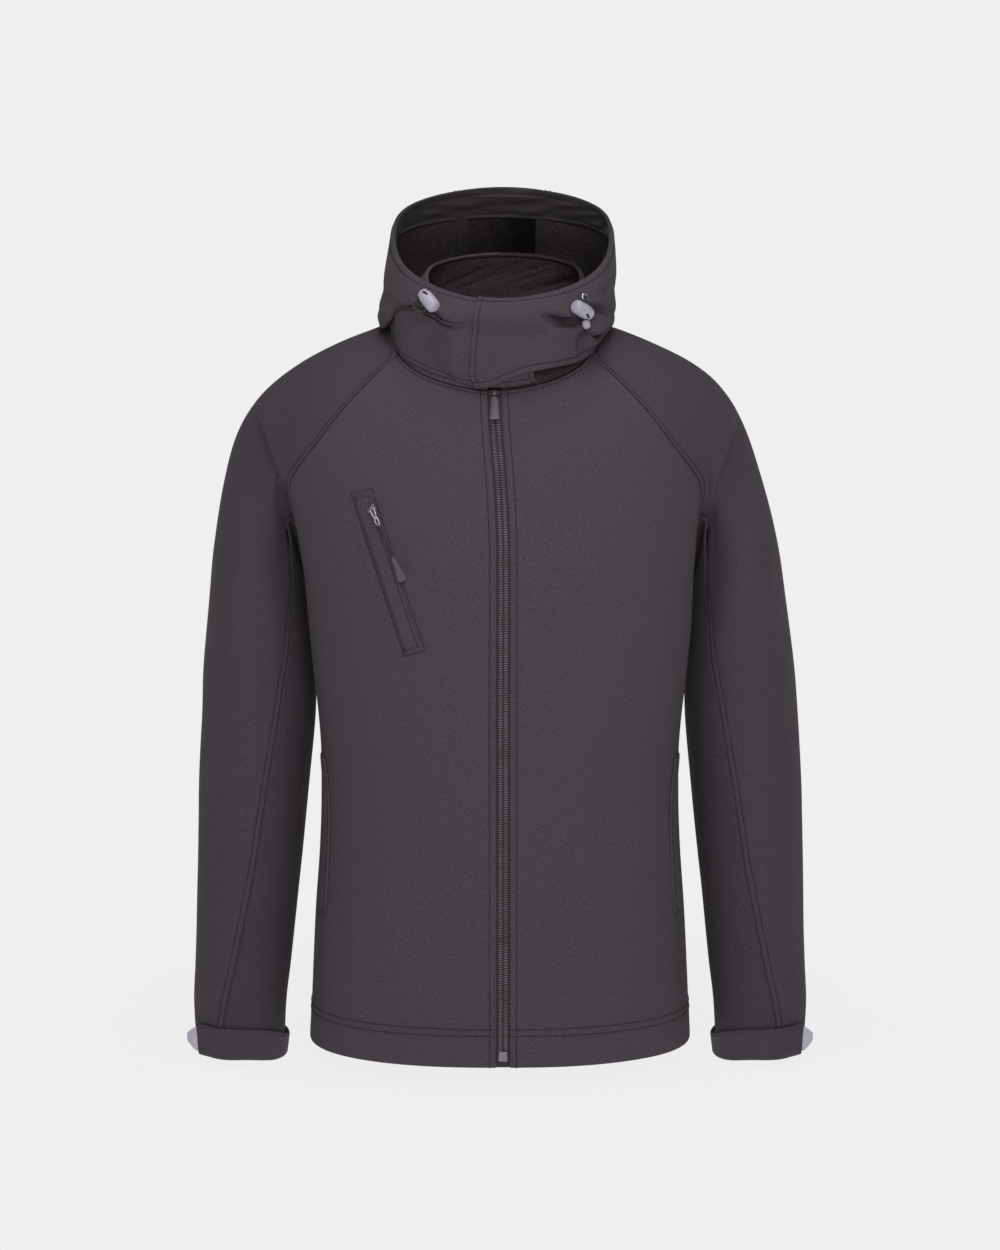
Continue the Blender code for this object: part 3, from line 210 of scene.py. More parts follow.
# Side pockets
POCKET_TOP, POCKET_BOTTOM = 292.0, 132.0
POCKET_ANGLE, POCKET_SPAN = 67.0, 8.0
POCKET_CURVE = 7.0
POCKET_BEND_ONSET = 6
POCKET_SEAT = 0.65

# Draw cord fittings on the hood, by row and degrees
Fitting = namedtuple("Fitting", "row angle tilt seat")
EYELETS = {"right": Fitting(9.25, -43.0, 0, -0.13), "left": Fitting(9.1, 43.0, 0, 0.55)}
LOCKS = {"right": Fitting(8.95, -35.0, 128.0, 0.0), "left": Fitting(7.85, 39.0, -22.0, -0.15)}
LOCK_RADIUS, LOCK_WAIST = 6.8, 5.0
CORD_DIAMETER = 2.6
# Cord routes: across, out and along
CORD_LOOP = [
    (8.0, 0, 5.35), (8.0, 0, 11.0), (4.0, -0.4, 15.5), (-2.0, -0.4, 15.5), (-5.6, 0, 12.0),
    (-5.8, 0, 7.05),
]
CORD_LEAD = [
    (0, 0.1, 0), (-0.2, 2.6, -0.4), (-2.2, 4.4, -3.6), (-4.9, 4.5, -7.0),
]
LOOP_STARTS, LOOP_ENDS = (8.0, 0, 0.5), (-5.8, 0, 2.0)  # inside the lock
LEAD_STARTS = (0, -3.0, 0)  # behind the eyelet
CORD_END_HALF = 4.3
CORD_END_ALONG, CORD_END_TURN = 9.0, -50.0  # along the lock, and degrees from its axis

# Sliders
SLIDER_WIDTH, SLIDER_LENGTH, SLIDER_BASE = 8.4, 11.0, 2.2
PIN_RADIUS, PIN_STANDS = 1.0, 5.1
LUG_NEAR, LUG_WIDTH = 3.2, 1.2
LUG_HALF, LUG_SINK, LUG_TOP = 1.8, 0.4, 1.6
EYE_OUTER, EYE_INNER = 2.4, 1.4
EYE_HALF = 1.9
EYE_FROM, EYE_TO = -35.0, 245.0
PULL_WALL = 2.0


def ease(share):
    return share * share * (3 - 2 * share)


def curve(t, start, leave, stop, arrive):
    """A point on the way between two points, which leaves and arrives in the given ways."""
    return ((1 + 2 * t) * (1 - t) ** 2 * start + t * (1 - t) ** 2 * leave
            + ease(t) * stop + t * t * (t - 1) * arrive)


def table(rows):
    """A smooth function through the rows: the first column drives the others, without overshoot."""
    data = np.array(rows, float)
    keys, values = data[:, 0], data[:, 1:]
    steps = np.diff(keys)
    slopes = np.diff(values, axis=0) / steps[:, None]
    tangents = np.zeros_like(values)
    tangents[0], tangents[-1] = slopes[0], slopes[-1]
    for k in range(1, len(keys) - 1):
        before, after = slopes[k - 1], slopes[k]
        same = before * after > 0
        total = np.where(same, before + after, 1.0)
        tangents[k] = np.where(same, 2.0 * before * after / total, 0.0)

    def read(key):
        k = int(np.clip(np.searchsorted(keys, key) - 1, 0, len(steps) - 1))
        t = (min(max(key, keys[0]), keys[-1]) - keys[k]) / steps[k]
        return curve(t, values[k], steps[k] * tangents[k], values[k + 1], steps[k] * tangents[k + 1])

    return read


def signed_power(value, power):
    return math.copysign(abs(value) ** power, value)


def smooth_step(low, high, value):
    return ease(min(max((value - low) / (high - low), 0.0), 1.0))


def smooth_steps(low, high, values):
    return ease(np.clip((values - low) / (high - low), 0, 1))


def swell(value, place, width):
    """1 at the place, fading to nothing within about twice the width."""
    return np.exp(-((value - place) / width) ** 2)


def through(points, share):
    """A point of the curve through four points, between the middle two, spaced by their chords."""
    a, b, c, d = points
    before, mid, after = (max(np.linalg.norm(q - p), 1e-3) for p, q in ((a, b), (b, c), (c, d)))
    leave = ((b - a) / before * mid + (c - b) / mid * before) / (before + mid)
    arrive = ((c - b) / mid * after + (d - c) / after * mid) / (mid + after)
    return curve(share, b, mid * leave, c, mid * arrive)


def unit(vector):
    return vector / np.linalg.norm(vector)


def normal(form, p, q, dp, dq):
    along = form(p + dp, q) - form(p - dp, q)
    across = form(p, q + dq) - form(p, q - dq)
    return unit(np.cross(along, across))


torso_level = table(TORSO)
raglan_front = table(RAGLAN_FRONT)
raglan_back = table(RAGLAN_BACK)
neck_side = table(NECK_SIDE)
under_sleeve = table(UNDER_SLEEVE)
zip_line = table(ZIP_LINE)


def lean(height):
    return SHOULDER_LEAN * smooth_step(LEAN_FROM, LEAN_TO, height)


def torso(side, height, angle):
    """The body's form: side is 1 for the wearer's left, the angle runs from the centre front."""
    half_width, side_depth, front_depth, back_depth = torso_level(height)
    power = 2.0 / SECTION_POWER
    turn = math.radians(angle)
    across = signed_power(math.sin(turn), power)
    along = signed_power(math.cos(turn), power)
    reach = side_depth - front_depth if along > 0 else back_depth - side_depth
    return np.array([side * half_width * across + lean(height), side_depth - reach * along, height])


def torso_normal(side, height, angle):
    return side * normal(lambda h, a: torso(side, h, a), height, angle, -0.5, 0.25)


def torso_angle(side, height, x):
    """The angle at which the front of the body's form has this x."""
    share = max(side * (x - lean(height)), 0.0) / torso_level(height)[0]
    return math.degrees(math.asin(min(share, 1.0) ** (SECTION_POWER / 2.0)))


def raglan_height(top, share):
    return UNDERARM_HEIGHT + (top - UNDERARM_HEIGHT) * share ** RAGLAN_EASE


def raglan_loop(turn):
    """Height and angle on the body's form of the sleeve's upper edge, from the underarm round."""
    if turn <= FRONT_TURN:
        height = raglan_height(RAGLAN_FRONT_TOP, turn / FRONT_TURN)
        return np.array([height, raglan_front(height)[0]])
    if turn < BACK_TURN:
        return neck_side((turn - FRONT_TURN) / (BACK_TURN - FRONT_TURN))
    height = raglan_height(RAGLAN_BACK_TOP, (1 - turn) / (1 - BACK_TURN))
    return np.array([height, raglan_back(height)[0]])


def raglan_point(side, turn):
    return torso(side, *raglan_loop(turn % 1.0))


def raglan_facing(side, turn):
    return torso_normal(side, *raglan_loop(turn % 1.0))


def raglan_leave(side, turn, step):
    """The way into the sleeve, square to the raglan seam."""
    along = raglan_point(side, turn + step) - raglan_point(side, turn - step)
    return unit(np.cross(along, raglan_facing(side, turn))) * side


def arm_ring(side, section, turn):
    swing = math.radians(180.0 - 360.0 * turn)
    across, along = math.cos(swing), math.sin(swing)
    depth = section.half_front if along > 0 else section.half_back
    outer_x = section.outer_x
    if side < 0:
        outer_x += RIGHT_ARM_OUT * smooth_step(*RIGHT_ARM_FADE, section.outer_height)
    x = 0.5 * (outer_x + section.inner_x) + 0.5 * (outer_x - section.inner_x) * across
    height = 0.5 * (section.outer_height + section.inner_height)
    height += 0.5 * (section.outer_height - section.inner_height) * across
    return np.array([side * x + lean(height), section.depth - depth * along, height])


def sleeve_cap(side, share, turn):
    """From the raglan seam, along the body's form, over into the arm."""
    start = raglan_point(side, turn)
    stop = arm_ring(side, ARM[0], turn)
    place = min(turn % 1.0, 1 - turn % 1.0)
    near = UNDERARM_TURN * (1 - smooth_step(0, UNDERARM_REACH, place))
    over = smooth_step(*SHOULDER_TURNS, place)
    facing = raglan_facing(side, turn)
    leave = raglan_leave(side, turn, 0.02) * (1 - over) + SHOULDER_WAY * np.array([side, 1, 1]) * over
    leave = unit(leave - facing * np.dot(leave, facing))
    leave = unit(leave * (1 - near) + np.array([side, 0, 0]) * near)
    arrive = unit(arm_ring(side, ARM[1], turn) - stop)
    reach = np.linalg.norm(stop - start) * (CAP_FULLNESS + CAP_SHOULDER[side] * math.sin(math.pi * turn) ** 2)
    return curve(share, start, reach * leave, stop, reach * arrive)


def sleeve(side, row, turn):
    """The sleeve's form: row 0 is the raglan seam, the last row its end, turns start at the underarm."""
    if row <= CAP_ROWS:
        return sleeve_cap(side, row / CAP_ROWS, turn)
    k = min(int(row), SLEEVE_END - 1)
    rows = []
    for i in range(k - 1, k + 3):
        if i < CAP_ROWS:
            rows.append(sleeve_cap(side, i / CAP_ROWS, turn))
        else:
            rows.append(arm_ring(side, ARM[min(i, SLEEVE_END) - CAP_ROWS], turn))
    if k + 2 > SLEEVE_END:
        rows[3] = 2 * rows[2] - rows[1]
    return through(rows, row - k)


def hood_ring(level, angle):
    turn = math.radians(angle)
    across, along = math.sin(turn), math.cos(turn)
    ahead = along > 0
    depth = level.front_y if ahead else level.back_y
    span = (abs(across) / level.side_x) ** level.power + (abs(along) / depth) ** level.power
    radius = span ** (-1.0 / level.power)
    ease = level.front_ease if ahead else level.back_ease
    target = level.front_height if ahead else level.back_height
    height = level.side_height + (target - level.side_height) * abs(along) ** ease
    return np.array([radius * across, -radius * along, height])


def hood_row(neck, row, angle):
    if row == 0:
        return neck_at(neck, angle, HOOD_SEAT_OUT, HOOD_SEAT_UP)
    point = hood_ring(HOOD[row - 1], angle)
    share = (row - 1) / (len(HOOD) - 1)
    point[0] += HOOD_SHIFT_LOW + (HOOD_SHIFT_BRIM - HOOD_SHIFT_LOW) * share
    return point


def hood(neck, row, angle):
    """The hood's form: row 0 sits round the neck seam, the last row is the rim of the face opening."""
    last = len(HOOD)
    k = int(min(max(row, 0), last - 1e-9))
    rows = [hood_row(neck, min(max(i, 0), last), angle) for i in range(k - 1, k + 3)]
    if k == 0:
        rows[0] = 2 * rows[1] - rows[2]
    if k + 2 > last:
        rows[3] = 2 * rows[2] - rows[1]
    return through(rows, row - k)


def neck_at(neck, angle, out, up):
    """The neck seam's point in this direction, moved out and up."""
    angles = np.degrees(np.arctan2(neck[:, 0], -neck[:, 1]))
    order = np.argsort(angles)
    angles, points = angles[order], neck[order]
    wrapped = (angle + 180.0) % 360.0 - 180.0
    point = np.array([np.interp(wrapped, angles, points[:, i], period=360.0) for i in range(3)])
    away = unit(np.array([point[0], point[1], 0.0]))
    return point + away * out + np.array([0, 0, up])


def collar_top(angle):
    return hood_ring(COLLAR_RIM, angle) + np.array([COLLAR_SHIFT, 0, 0])


def metres(points):
    scaled = np.array(points, float) * MM
    scaled[..., 2] -= ORIGIN_HEIGHT * MM
    return scaled


def grid_of(form, params):
    return np.array([[form(p, q) for p, q in row] for row in params])


def edge_heights(top):
    return HEM_ROWS + [raglan_height(top, share) for share in RAGLAN_SHARES]


def edge_angle(seam, height):
    return SIDE_SEAM_ANGLE if height <= UNDERARM_HEIGHT else seam(height)[0]


def front_heights():
    return [h * NECK_FRONT_HEIGHT / RAGLAN_FRONT_TOP for h in edge_heights(RAGLAN_FRONT_TOP)]


def front_params(side):
    rows = []
    for centre, edge in zip(front_heights(), edge_heights(RAGLAN_FRONT_TOP)):
        spread = 1 + (NECK_SPREAD - 1) * (edge / RAGLAN_FRONT_TOP) ** NECK_SPREAD_ONSET
        start = torso_angle(side, centre, zip_line(centre)[0] + side * ZIP_HALF)
        stop = edge_angle(raglan_front, edge)
        row = []
        for c in range(FRONT_COLUMNS + 1):
            share = c / FRONT_COLUMNS
            height = centre + (edge - centre) * share ** NECK_ROUNDING
            row.append((height, start + (stop - start) * share ** spread))
        rows.append(row)
    return rows


def sleeve_normal(side, row, turn):
    held = min(max(row, 0.05), SLEEVE_END - 0.02)
    facing = side * normal(lambda r, t: sleeve(side, r, t), held, turn, 0.02, 0.004)
    return unit(facing + raglan_facing(side, turn)) if row == 0 else facing


def hood_normal(neck, row, angle):
    held = min(max(row, 0.03), HOOD_BRIM - 0.03)
    return -normal(lambda r, a: hood(neck, r, a), held, angle, 0.03, 0.8)


def centre_seam(neck, row):
    """The angle at which the hood's back has the half width of its centre panel."""
    back = hood(neck, row, 180.0)[1]
    return 180.0 - math.degrees(math.atan2(HOOD_CENTRE_HALF, back))


def flap_lift(angle):
    return FLAP_LIFT * (1 - smooth_step(UNDER_END + 2, FLAP_BLEND, angle))


def hem_rise(angle):
    """The overlapping front's lower edge climbs away from its free corner."""
    climb = smooth_step(FLAP_END, UNDER_END, angle)
    return FLAP_HEM_RISE * climb * (1 - smooth_step(UNDER_END, FLAP_HEM_ENDS, angle))


def side_angles(neck, row, side, nodes):
    seam = centre_seam(neck, row)
    last = nodes[-1]
    rest = [last + (seam - last) * i / HOOD_SIDE_COLUMNS for i in range(1, HOOD_SIDE_COLUMNS + 1)]
    return [side * a for a in nodes + rest]


def front_point(x, height):
    """A point of the front at this x and height, and the way out of it."""
    side = 1 if x >= lean(height) else -1
    angle = torso_angle(side, height, x)
    return torso(side, height, angle), torso_normal(side, height, angle)


def placed(points, origin, frame):
    return np.array([origin + frame[0] * p[0] + frame[1] * p[1] + frame[2] * p[2] for p in points])


def surface_frame(facing, tilt):
    """Across, out and along, turned by the tilt about the way out."""
    up = np.array([0, 0, 1.0])
    along = unit(up - facing * np.dot(up, facing))
    across = np.cross(along, facing)
    turn = math.radians(tilt)
    side_way = across * math.cos(turn) + along * math.sin(turn)
    return side_way, facing, along * math.cos(turn) - across * math.sin(turn)


def sleeve_height_row(height):
    upper, lower = ARM[-2].outer_height, ARM[-1].outer_height
    return SLEEVE_END - 1 + (upper - height) / (upper - lower)


def cuff_point(side, height, turn, out):
    row = min(sleeve_height_row(height), float(SLEEVE_END))
    point = sleeve(side, row, turn) + sleeve_normal(side, row, turn) * out
    point[2] = height - STRAP_TILT * math.cos(2 * math.pi * turn)
    return point


# Looks
VIEW_ELEVATION, VIEW_DISTANCE = 9.0, 3.2
VIEW_LENS, VIEW_SENSOR = 92.16, 36.0
VIEW_HEIGHT = -0.286
FLOOR = -0.7295
STUDIO_TONE, STUDIO_FILL = 0.864, 0.03
FLOOR_GLOW, FLOOR_SHADE = 0.83, 0.05
PANEL_GAP = 0.16  # between sewn panels
SEAM_STEPS = (0.5, 0.9, 1.5, 2.6, 4.2, 5.7, 6.6, 7.5, 9.4)
EDGE_STEPS = (0.6, 1.6, 3.0, 4.6, 5.4, 6.2, 8.0)
HEM_STEPS = (0.6, 1.6, 4.0, 29.5, 31.5, 33.5, 36.5, 38.5, 40.5)
TWIN = (0.9, 6.6)  # a stitched seam's two rows, from the seam
HEM_TWIN = (31.5, 38.5)
ZIP_STITCH, NECK_STITCH, COLLAR_STITCH = 6.6, 3.6, 4.4  # single rows, from their edges
RIM_STITCH, FOOT_STITCH, FLAP_STITCH, FACING_STITCH = 5.4, 6.2, 4.4, 5.0
WELT_STITCH, POCKET_STITCH, TAPE_STITCHES = 1.6, 2.2, (2.0, 5.0, 9.0, 12.0)
COLLAR_STEPS = (0.6, 1.4, 2.4, 3.4, COLLAR_STITCH, 5.4, 6.6)
SEWN_EDGE, ROUND_EDGE = 0.02, 0.4  # how far an edge stands out: millimetres, share of the wall
STITCH_PITCH, STITCH_LENGTH, STITCH_WIDTH, STITCH_STANDS = 3.1, 2.7, 1.15, 0.3
TOOTH_PITCH, TOOTH_ACROSS, TOOTH_ALONG, TOOTH_RISE = 2.3, 4.7, 1.5, 1.5
THREADS = 1150.0  # woven threads in a metre
# Creases: width, depth, and a path of x and height
FRONT_CREASES = [
    (13, 1.5, [(-201, 550), (-176, 521), (-155, 477)]),
    (15, 1.0, [(-186, 506), (-170, 468), (-161, 415)]),
    (13, 1.3, [(197, 550), (178, 521), (163, 482)]),
    (15, 1.0, [(187, 505), (171, 470), (164, 420)]),
    (22, 1.1, [(-152, 352), (-124, 300), (-108, 236)]),
    (24, 1.0, [(150, 340), (122, 296), (110, 226)]),
    (26, 0.9, [(-92, 12), (-86, 70), (-88, 128)]),
    (24, 0.8, [(72, 10), (80, 66), (78, 124)]),
    (18, 0.8, [(-40, 560), (-48, 500), (-42, 440)]),
    (18, 0.8, [(46, 590), (54, 520), (48, 450)]),
]
SLEEVE_CREASES = [
    (11, 1.3, [(-190, 420), (-222, 412), (-252, 420)]),
    (11, 1.6, [(-188, 366), (-226, 350), (-262, 360)]),
    (13, 1.3, [(-304, 334), (-272, 312), (-236, 308)]),
    (12, 1.0, [(-204, 250), (-236, 240), (-268, 250)]),
    (11, 1.2, [(-216, 124), (-250, 112), (-286, 120)]),
    (10, 1.2, [(-306, 84), (-268, 68), (-232, 72)]),
    (8, 1.3, [(-222, 33), (-254, 26), (-300, 31)]),
    (14, 1.2, [(-288, 520), (-262, 486), (-236, 470)]),
    (15, -4.5, [(-264, 480), (-266, 424), (-265, 366)]),
    (15, -4.5, [(264, 486), (266, 430), (265, 376)]),
    (11, 1.2, [(190, 428), (220, 416), (250, 426)]),
    (12, 1.5, [(188, 358), (224, 346), (258, 352)]),
    (13, 1.3, [(302, 330), (270, 306), (234, 304)]),
    (12, 1.0, [(206, 236), (240, 228), (272, 238)]),
    (11, 1.2, [(217, 132), (252, 118), (288, 128)]),
    (10, 1.1, [(308, 78), (270, 64), (236, 66)]),
    (8, 1.2, [(223, 34), (256, 27), (302, 33)]),
    (14, 1.1, [(284, 526), (258, 490), (230, 472)]),
]
BREAK = [(-239, 632), (-204, 543)]  # the sleeve drops off the shoulder below this line: x, height
BREAK_DEPTH, BREAK_RUN, BREAK_BACK, BREAK_LIP = 9.0, 6.0, 62.0, 2.0
BACK_CREASES = [
    (13, 2.9, [(-190, 520), (-160, 490), (-140, 440)]),
    (13, 2.7, [(188, 516), (162, 484), (142, 430)]),
    (20, 2.3, [(-120, 330), (-60, 300), (10, 306)]),
    (20, 2.3, [(130, 300), (70, 276), (0, 284)]),
    (22, 1.8, [(-100, 10), (-92, 80), (-96, 150)]),
    (22, 1.8, [(96, 12), (90, 90), (98, 170)]),
    (17, 1.8, [(-60, 600), (-70, 540), (-62, 480)]),
    (17, 1.8, [(60, 610), (72, 550), (64, 490)]),
]
HOOD_CREASES = [
    (8, -2.0, [(-104, 746), (-84, 749), (-60, 742)]),
    (2.4, 5.0, [(93, 704), (97, 707), (101, 711)]),
    (3.2, 7.0, [(-74, 734), (-64, 730), (-57, 724), (-47, 720), (-30, 720)]),
    (2.8, 7.5, [(-106, 728), (-97, 733.5), (-84, 736), (-72, 733.5), (-60, 727)]),
    (4.2, 16.0, [(38, 731), (53, 725), (65, 722), (80, 725)]),
    (6, -3.0, [(44, 718), (60, 713), (74, 714)]),
    (4.5, 13.0, [(88, 720), (80.5, 709.5), (78.5, 700), (81, 688)]),
    (2.8, 14.0, [(84, 713), (95, 705.5), (103, 710), (111, 718)]),
    (4.0, 13.0, [(84, 738), (95, 733.5), (104, 730), (112, 723)]),
    (6, -4.0, [(108, 725), (98, 717), (89, 711)]),
    (7, 2.6, [(-113, 766), (-105, 752), (-100, 744)]),
    (6, 7.0, [(114, 766), (103, 752), (100, 741)]),
]
# Under the roll of the hood on the wearer's right: x, height, how deep it turns in
FOLD_STEPS = [
    (-120, 711, 0), (-116, 716, 8), (-111, 722, 16), (-105, 728, 16), (-98, 733, 13), (-82, 736, 9),
    (-69, 733, 7), (-57, 724, 4), (-44, 718, 0),
]
FOLD_SIDE = (-92.0, -84.0)  # degrees from the centre front, where the roll comes to rest on the shoulder
FOLD_LIP, FOLD_TURN = 5.0, 4.0
TAPE_HALF, TAPE_SEAT, TAPE_WALL = 7.0, 0.5, 1.0
CHEST_SLIT = (6.0, 1.0)  # what shows of the chest zip: its shift and half width
# Folds inside the collar: place, width, depth, how far under the rim
COLLAR_FOLDS = [
    (150, 2.6, 3.4, 22), (164, 2.0, 3.0, 12), (174, 2.2, 3.6, 27), (188, 2.4, 3.2, 15), (206, 2.6, 2.4, 22),
    (238, 3.4, 4.4, 24), (128, 2.6, 2.6, 30),
]
POCKET_FRAME = (10.6, 0.028)  # the chest pocket's frame: half width, and run past its ends
LockSlot = namedtuple("LockSlot", "along round turn")
LOCK_SLOTS = {"right": LockSlot(5.0, -0.35, 12.0), "left": LockSlot(4.0, -0.45, -24.0)}
LOCK_TURNS = {"right": 8.0, "left": -4.0}  # degrees the locks hang round on their cord
FOOT_RISE, FOOT_FADE = 3.5, 26.0  # the foot climbs off the neck seam beside the flap
FOOT_ENDS = (-62.0, -42.0, -30.0, -16.0)
FOOT_STANDS = 2.8  # off the neck seam, at least
HOOD_BACK_CREASES = [
    (14, 3.0, [(-90, 700), (-40, 672), (10, 680)]),
    (14, 2.6, [(95, 706), (50, 680), (4, 668)]),
    (12, 2.4, [(-70, 640), (-20, 626), (40, 634)]),
    (14, 2.4, [(-104, 780), (-60, 752), (-20, 760)]),
    (14, 2.2, [(100, 784), (62, 756), (24, 762)]),
]


def put(name, data):
    piece = bpy.data.objects.new(name, data)
    bpy.context.scene.collection.objects.link(piece)
    return piece


def set_camera():
    tilt = math.radians(VIEW_ELEVATION)
    way = Vector((0, -math.cos(tilt), math.sin(tilt)))
    lens = bpy.data.cameras.new("front_view")
    lens.lens, lens.sensor_width = VIEW_LENS, VIEW_SENSOR
    camera = put("front_view", lens)
    camera.location = Vector((0, 0, VIEW_HEIGHT)) + way * VIEW_DISTANCE
    camera.rotation_euler = (-way).to_track_quat("-Z", "Y").to_euler()
    bpy.context.scene.camera = camera


# Finishes
def add(tree, kind, values=(), links=(), **settings):
    item = tree.nodes.new(kind)
    for key, value in settings.items():
        setattr(item, key, value)
    for key, value in values:
        item.inputs[key].default_value = value
    for key, source in links:
        tree.links.new(source, item.inputs[key])
    return item


def math_of(tree, operation, first, second=None):
    item = tree.nodes.new("ShaderNodeMath")
    item.operation = operation
    for place, value in enumerate((first, second)):
        if value is None:
            continue
        if isinstance(value, (int, float)):
            item.inputs[place].default_value = value
        else:
            tree.links.new(value, item.inputs[place])
    return item.outputs[0]


def new_finish(name, **fixed):
    material = bpy.data.materials.new(name)
    material.use_nodes = True
    tree = material.node_tree
    shader = tree.nodes["Principled BSDF"]
    for key, value in fixed.items():
        shader.inputs[key.replace("_", " ")].default_value = value
    return material, tree, shader


def grains(tree, source, scale, detail=2.0, low=0.35, high=0.65):
    """An even cloud of grains between 0 and 1."""
    cloud = add(tree, "ShaderNodeTexNoise", [("Scale", scale), ("Detail", detail)], [("Vector", source)])
    spread = add(tree, "ShaderNodeMapRange", [("From Min", low), ("From Max", high)],
                 [("Value", cloud.outputs[0])])
    return spread.outputs[0]


def mixed(tree, share, dark, light):
    mix = add(tree, "ShaderNodeMix", data_type="RGBA")
    tree.links.new(share, mix.inputs[0])
    for place, colour in ((6, dark), (7, light)):
        if isinstance(colour, tuple):
            mix.inputs[place].default_value = (*colour, 1.0)
        else:
            tree.links.new(colour, mix.inputs[place])
    return mix.outputs[2]


def ranged(tree, share, low, high):
    item = add(tree, "ShaderNodeMapRange", [("To Min", low), ("To Max", high)], [("Value", share)])
    return item.outputs[0]


def raised(tree, height, distance, strength, under=None):
    bump = add(tree, "ShaderNodeBump", [("Distance", distance), ("Strength", strength)], [("Height", height)])
    if under is not None:
        tree.links.new(under, bump.inputs["Normal"])
    return bump.outputs[0]


def dress(tree, shader, colour, rough, relief):
    for place, source in (("Base Color", colour), ("Roughness", rough), ("Normal", relief)):
        tree.links.new(source, shader.inputs[place])


def woven_cloth(name, dark, light, threads=THREADS, sheen=0.03):
    """Softshell face: a fine plain weave with uneven yarn and a soft overall cloud."""
    material, tree, shader = new_finish(name, Sheen_Weight=sheen, Sheen_Roughness=0.45,
                                        Specular_IOR_Level=0.3)
    place = add(tree, "ShaderNodeTexCoord")
    split = add(tree, "ShaderNodeSeparateXYZ", links=[(0, place.outputs["UV"])])
    waves = []
    for axis in (0, 1):
        waves.append(math_of(tree, "SINE", math_of(tree, "MULTIPLY", split.outputs[axis], threads * math.pi)))
    weave = math_of(tree, "MULTIPLY", *waves)
    strands = []
    for stretch in ((1.0, 0.35, 1.0), (0.35, 1.0, 1.0)):
        lying = add(tree, "ShaderNodeVectorMath", [(1, stretch)], [(0, place.outputs["UV"])],
                    operation="MULTIPLY")
        strands.append(grains(tree, lying.outputs[0], 780.0, 2.0, 0.34, 0.66))
    yarn = math_of(tree, "MULTIPLY", math_of(tree, "ADD", *strands), 0.5)
    cloud = grains(tree, place.outputs["Object"], 11.0, 3.0, 0.3, 0.7)
    face = mixed(tree, yarn, dark, light)
    middle = tuple(0.5 * (a + b) for a, b in zip(dark, light))
    fine = raised(tree, weave, 0.0003, 0.25)
    dress(tree, shader, mixed(tree, ranged(tree, cloud, 0.0, 0.35), face, middle),
          ranged(tree, yarn, 0.74, 0.9), raised(tree, yarn, 0.0006, 0.3, fine))
    return material


def fleece(name, dark, light, painted_shadow=None):
    """The brushed inside of the cloth; an optional painted shadow darkens the wearer's left of it, behind a
    line made uneven by a cloud.
    """
    material, tree, shader = new_finish(name, Sheen_Weight=0.02, Sheen_Roughness=0.6, Specular_IOR_Level=0.12)
    place = add(tree, "ShaderNodeTexCoord")
    pile = grains(tree, place.outputs["Object"], 300.0, 4.0, 0.3, 0.7)
    colour = mixed(tree, pile, dark, light)
    if painted_shadow:
        # painted shadow: the wearer's left darkens past a line across the middle, which a cloud makes uneven
        across = add(tree, "ShaderNodeSeparateXYZ", (), [("Vector", place.outputs["Object"])]).outputs[0]
        cloud = grains(tree, place.outputs["Object"], 45.0, 2.0, 0.2, 0.8)
        wear_and_shadow_line = math_of(tree, "ADD", across, ranged(tree, cloud, -0.012, 0.012))
        edge = add(tree, "ShaderNodeMapRange", [("From Min", -0.014), ("From Max", 0.016)], [("Value", wear_and_shadow_line)])
        colour = mixed(tree, edge.outputs[0], colour, painted_shadow)
    dress(tree, shader, colour, ranged(tree, pile, 0.85, 0.97), raised(tree, pile, 0.0012, 0.5))
    return material


def moulded(name, dark, light, rough=(0.38, 0.5), grain=900.0):
    """A moulded or cast finish with a fine even grain."""
    material, tree, shader = new_finish(name)
    place = add(tree, "ShaderNodeTexCoord").outputs["Object"]
    speck = grains(tree, place, grain, 2.0)
    cloud = grains(tree, place, 60.0, 2.0)
    dress(tree, shader, mixed(tree, cloud, dark, light), ranged(tree, speck, *rough),
          raised(tree, speck, 0.0001, 0.2))
    return material


def braided(name, dark, light):
    """Elastic cord: two sets of strands that cross."""
    material, tree, shader = new_finish(name, Sheen_Weight=0.2, Specular_IOR_Level=0.3)
    place = add(tree, "ShaderNodeTexCoord")
    split = add(tree, "ShaderNodeSeparateXYZ", links=[(0, place.outputs["Object"])])
    ridge = []
    for axis in (0, 2):
        ridge.append(math_of(tree, "SINE", math_of(tree, "MULTIPLY", split.outputs[axis], 5200.0)))
    strand = ranged(tree, math_of(tree, "MULTIPLY", *ridge), 0.0, 1.0)
    dress(tree, shader, mixed(tree, strand, dark, light), ranged(tree, strand, 0.7, 0.85),
          raised(tree, strand, 0.0004, 0.5))
    return material


def metal_finish(name, dark, light, rough=(0.28, 0.42)):
    material = moulded(name, dark, light, rough, 700.0)
    material.node_tree.nodes["Principled BSDF"].inputs["Metallic"].default_value = 0.9
    return material


# Cloth in fine steps
Cloth = namedtuple("Cloth", "outer inner facing start end bottom top")


def weights(count, places):
    """Smooth weights that read a row of points at places between them."""
    table_of = np.zeros((len(places), count))
    for i, place in enumerate(places):
        k = min(int(place), count - 2)
        t = place - k
        four = (-0.5 * t + t * t - 0.5 * t ** 3, 1 - 2.5 * t * t + 1.5 * t ** 3,
                0.5 * t + 2 * t * t - 1.5 * t ** 3, -0.5 * t * t + 0.5 * t ** 3)
        for j, value in zip(range(k - 1, k + 3), four):
            if j < 0:
                table_of[i, 0] += 2 * value
                table_of[i, 1] -= value
            elif j >= count:
                table_of[i, -1] += 2 * value
                table_of[i, -2] -= value
            else:
                table_of[i, j] += value
    return table_of


def fine_places(lengths, each, near):
    """Each cell in equal parts, and more lines near both ends, at the given distances."""
    reach = np.concatenate([[0], np.cumsum(lengths)])
    cells = np.arange(len(reach))
    places = list(np.linspace(0, len(lengths), len(lengths) * each + 1))
    for away in list(near[0]) + [reach[-1] - away for away in near[1]]:
        places.append(np.interp(away, reach, cells))
    return np.unique(np.round(places, 3))


